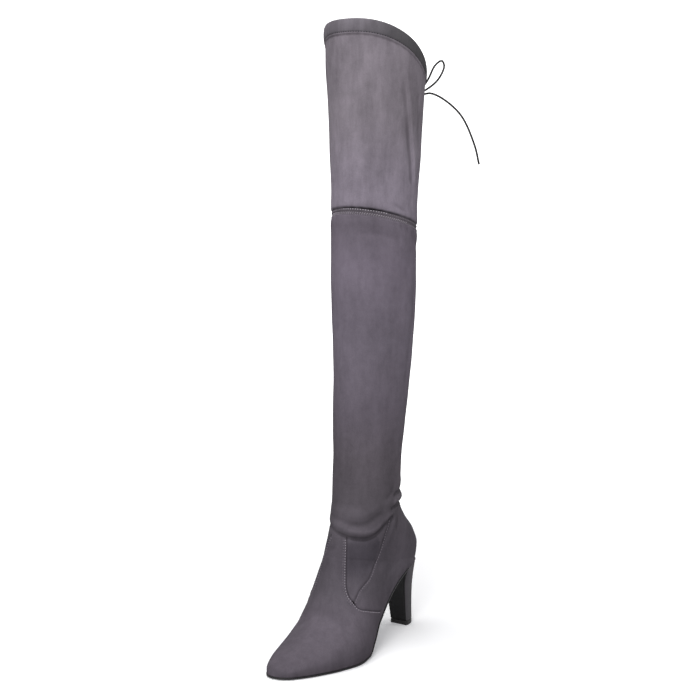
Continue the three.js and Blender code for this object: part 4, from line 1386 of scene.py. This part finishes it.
def wrapped_suede():
    """The same suede, pulled tight over the heel so its nap lies flat, and darker towards the floor."""
    shader = Shader("heel_suede", Specular_IOR_Level=0.15, Sheen_Weight=0.1, Sheen_Roughness=0.55)
    clouds = shader.noise(13.0, 3.0, 0.6, (1.0, 1.0, 0.4))
    nap = shader.noise(1.0, 2.0, 0.7)
    z_mm = shader.parts(shader.place())[2] * 1000.0
    colour = shader.mix(z_mm.step(8.0, 74.0), linear(*HEEL_LOW), linear(*HEEL_TOP))
    scuffed = (1.0 - z_mm.step(6.0, 12.0)) * 0.12
    tone = 1.0 + clouds * 0.1 + nap * 0.07 - scuffed
    grain = shader.noise(0.55, 2.0, 0.6) * 0.5
    return shader.finish(shader.shade(colour, tone), nap * 0.04 + 0.92, grain * 0.4, 0.28)


def breast_sheet():
    """Black sheet glued down the heel's front, faintly grained and a little glossy."""
    shader = Shader("breast_sheet", Specular_IOR_Level=0.2)
    grain = shader.node("TexVoronoi", {"feature": "F1"}, Vector=shader.place(), Scale=1400.0)
    worn = shader.noise(9.0, 3.0) * 0.5 + 0.5
    colour = shader.mix(worn * 0.4, linear(12, 11, 13), linear(20, 19, 21))
    return shader.finish(shader.shade(colour, 1.0 - grain * 0.2), worn * 0.15 + 0.5, grain.clamp(), 0.1)


heel_rings = [heel_ring(0, inset=0.35)]
heel_rings += [heel_ring(level) for level in np.linspace(0.04, 5, 72)]
heel_piece = closed_loft("heel_block", heel_rings, wrapped_suede())
heel_piece.data.materials.append(breast_sheet())
for polygon in heel_piece.data.polygons:
    if polygon.normal.y < -0.75 and abs(polygon.center.x) < 0.96 * seat_half * MM:
        polygon.material_index = 1
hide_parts("heel")
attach(heel_piece, "root")

# The heel's tread: a hard black rubber piece, pinned under the block.
tread_rings = [heel_ring(0, 0.0, 0.9), heel_ring(0, 0.25, 0.3), heel_ring(0, 0.9, 0.0)]
tread_rings += [heel_ring(0, level, 0.0) for level in (2.5, 4.4)]
tread_rings += [heel_ring(0, 4.85, 0.15), heel_ring(0, TREAD_THICKNESS, 0.5)]
tread_finish = moulded_rubber("tread_rubber", linear(22, 20, 22), 1.1)
tread_piece = closed_loft("tread_block", tread_rings, tread_finish)
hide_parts("heel_tread")
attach(tread_piece, "root")

# The studio: white paper for floor and backdrop in one curve, a soft light in front, one above, and
# a weaker one behind on the outer side. The paper's own glow keeps it white but doesn't light the boot.
FLOOR_END, CURVE, PAPER_TOP, HALF_WIDTH = 1.4, 0.8, 3.2, 3.2
PAPER_DROP = 0.0002
PAPER_TURN = math.radians(34)


def studio_white():
    """White paper that glows further out, so that it stays white up to the picture's edge."""
    shader = Shader("backdrop_white", Roughness=0.9, Specular_IOR_Level=0.1, Emission_Strength=1.0)
    shader.surface.inputs["Base Color"].default_value = (0.9, 0.9, 0.905, 1.0)
    away = shader.node("VectorMath", {"operation": "LENGTH"}, output=1, Vector=shader.place())
    glow = shader.mix(away.step(0.3, 1.0), (0.22, 0.22, 0.23), (1.0, 1.0, 1.0))
    shader.tree.links.new(glow.socket, shader.surface.inputs["Emission Color"])
    return shader.material


def backdrop():
    """The paper, flat on the floor and curved up behind the boot."""
    profile = [(-3.0, 0.0), (FLOOR_END, 0.0)]
    for angle in np.linspace(0.1, math.pi / 2, 14):
        profile.append((FLOOR_END + CURVE * math.sin(angle), CURVE - CURVE * math.cos(angle)))
    profile.append((FLOOR_END + CURVE, PAPER_TOP))
    points = []
    for across in (-HALF_WIDTH, HALF_WIDTH):
        for depth, height in profile:
            x = across * math.cos(PAPER_TURN) - depth * math.sin(PAPER_TURN)
            y = across * math.sin(PAPER_TURN) + depth * math.cos(PAPER_TURN)
            points.append((x / MM, y / MM, (height - PAPER_DROP) / MM))
    count = len(profile)
    faces = [(k, count + k, count + k + 1, k + 1) for k in range(count - 1)]
    paper = mesh_object("backdrop", points, faces, studio_white())
    paper.visible_diffuse = False
    return paper


backdrop()


def soft_light(name, place, aim, size, power):
    light = bpy.data.lights.new(name, "AREA")
    light.shape = "RECTANGLE"
    light.size, light.size_y = size
    light.energy = power
    made = linked(name, light)
    made.location = place
    made.rotation_euler = (Vector(aim) - Vector(place)).to_track_quat("-Z", "Y").to_euler()


soft_light("front_light", (1.1, -2.8, 1.25), (0.0, -0.06, 0.3), (0.9, 1.6), 66)
soft_light("top_light", (-0.2, -0.5, 2.3), (0.0, -0.12, 0.0), (1.2, 1.2), 34)
soft_light("rim_light", (1.7, 1.0, 0.9), (0.0, -0.05, 0.35), (0.7, 1.6), 12)
world = bpy.data.worlds.new("studio")
world.use_nodes = True
world.node_tree.nodes["Background"].inputs[0].default_value = (1.0, 1.0, 1.0, 1.0)
world.node_tree.nodes["Background"].inputs[1].default_value = 0.24
bpy.context.scene.world = world
bpy.context.scene.view_settings.view_transform = "Standard"
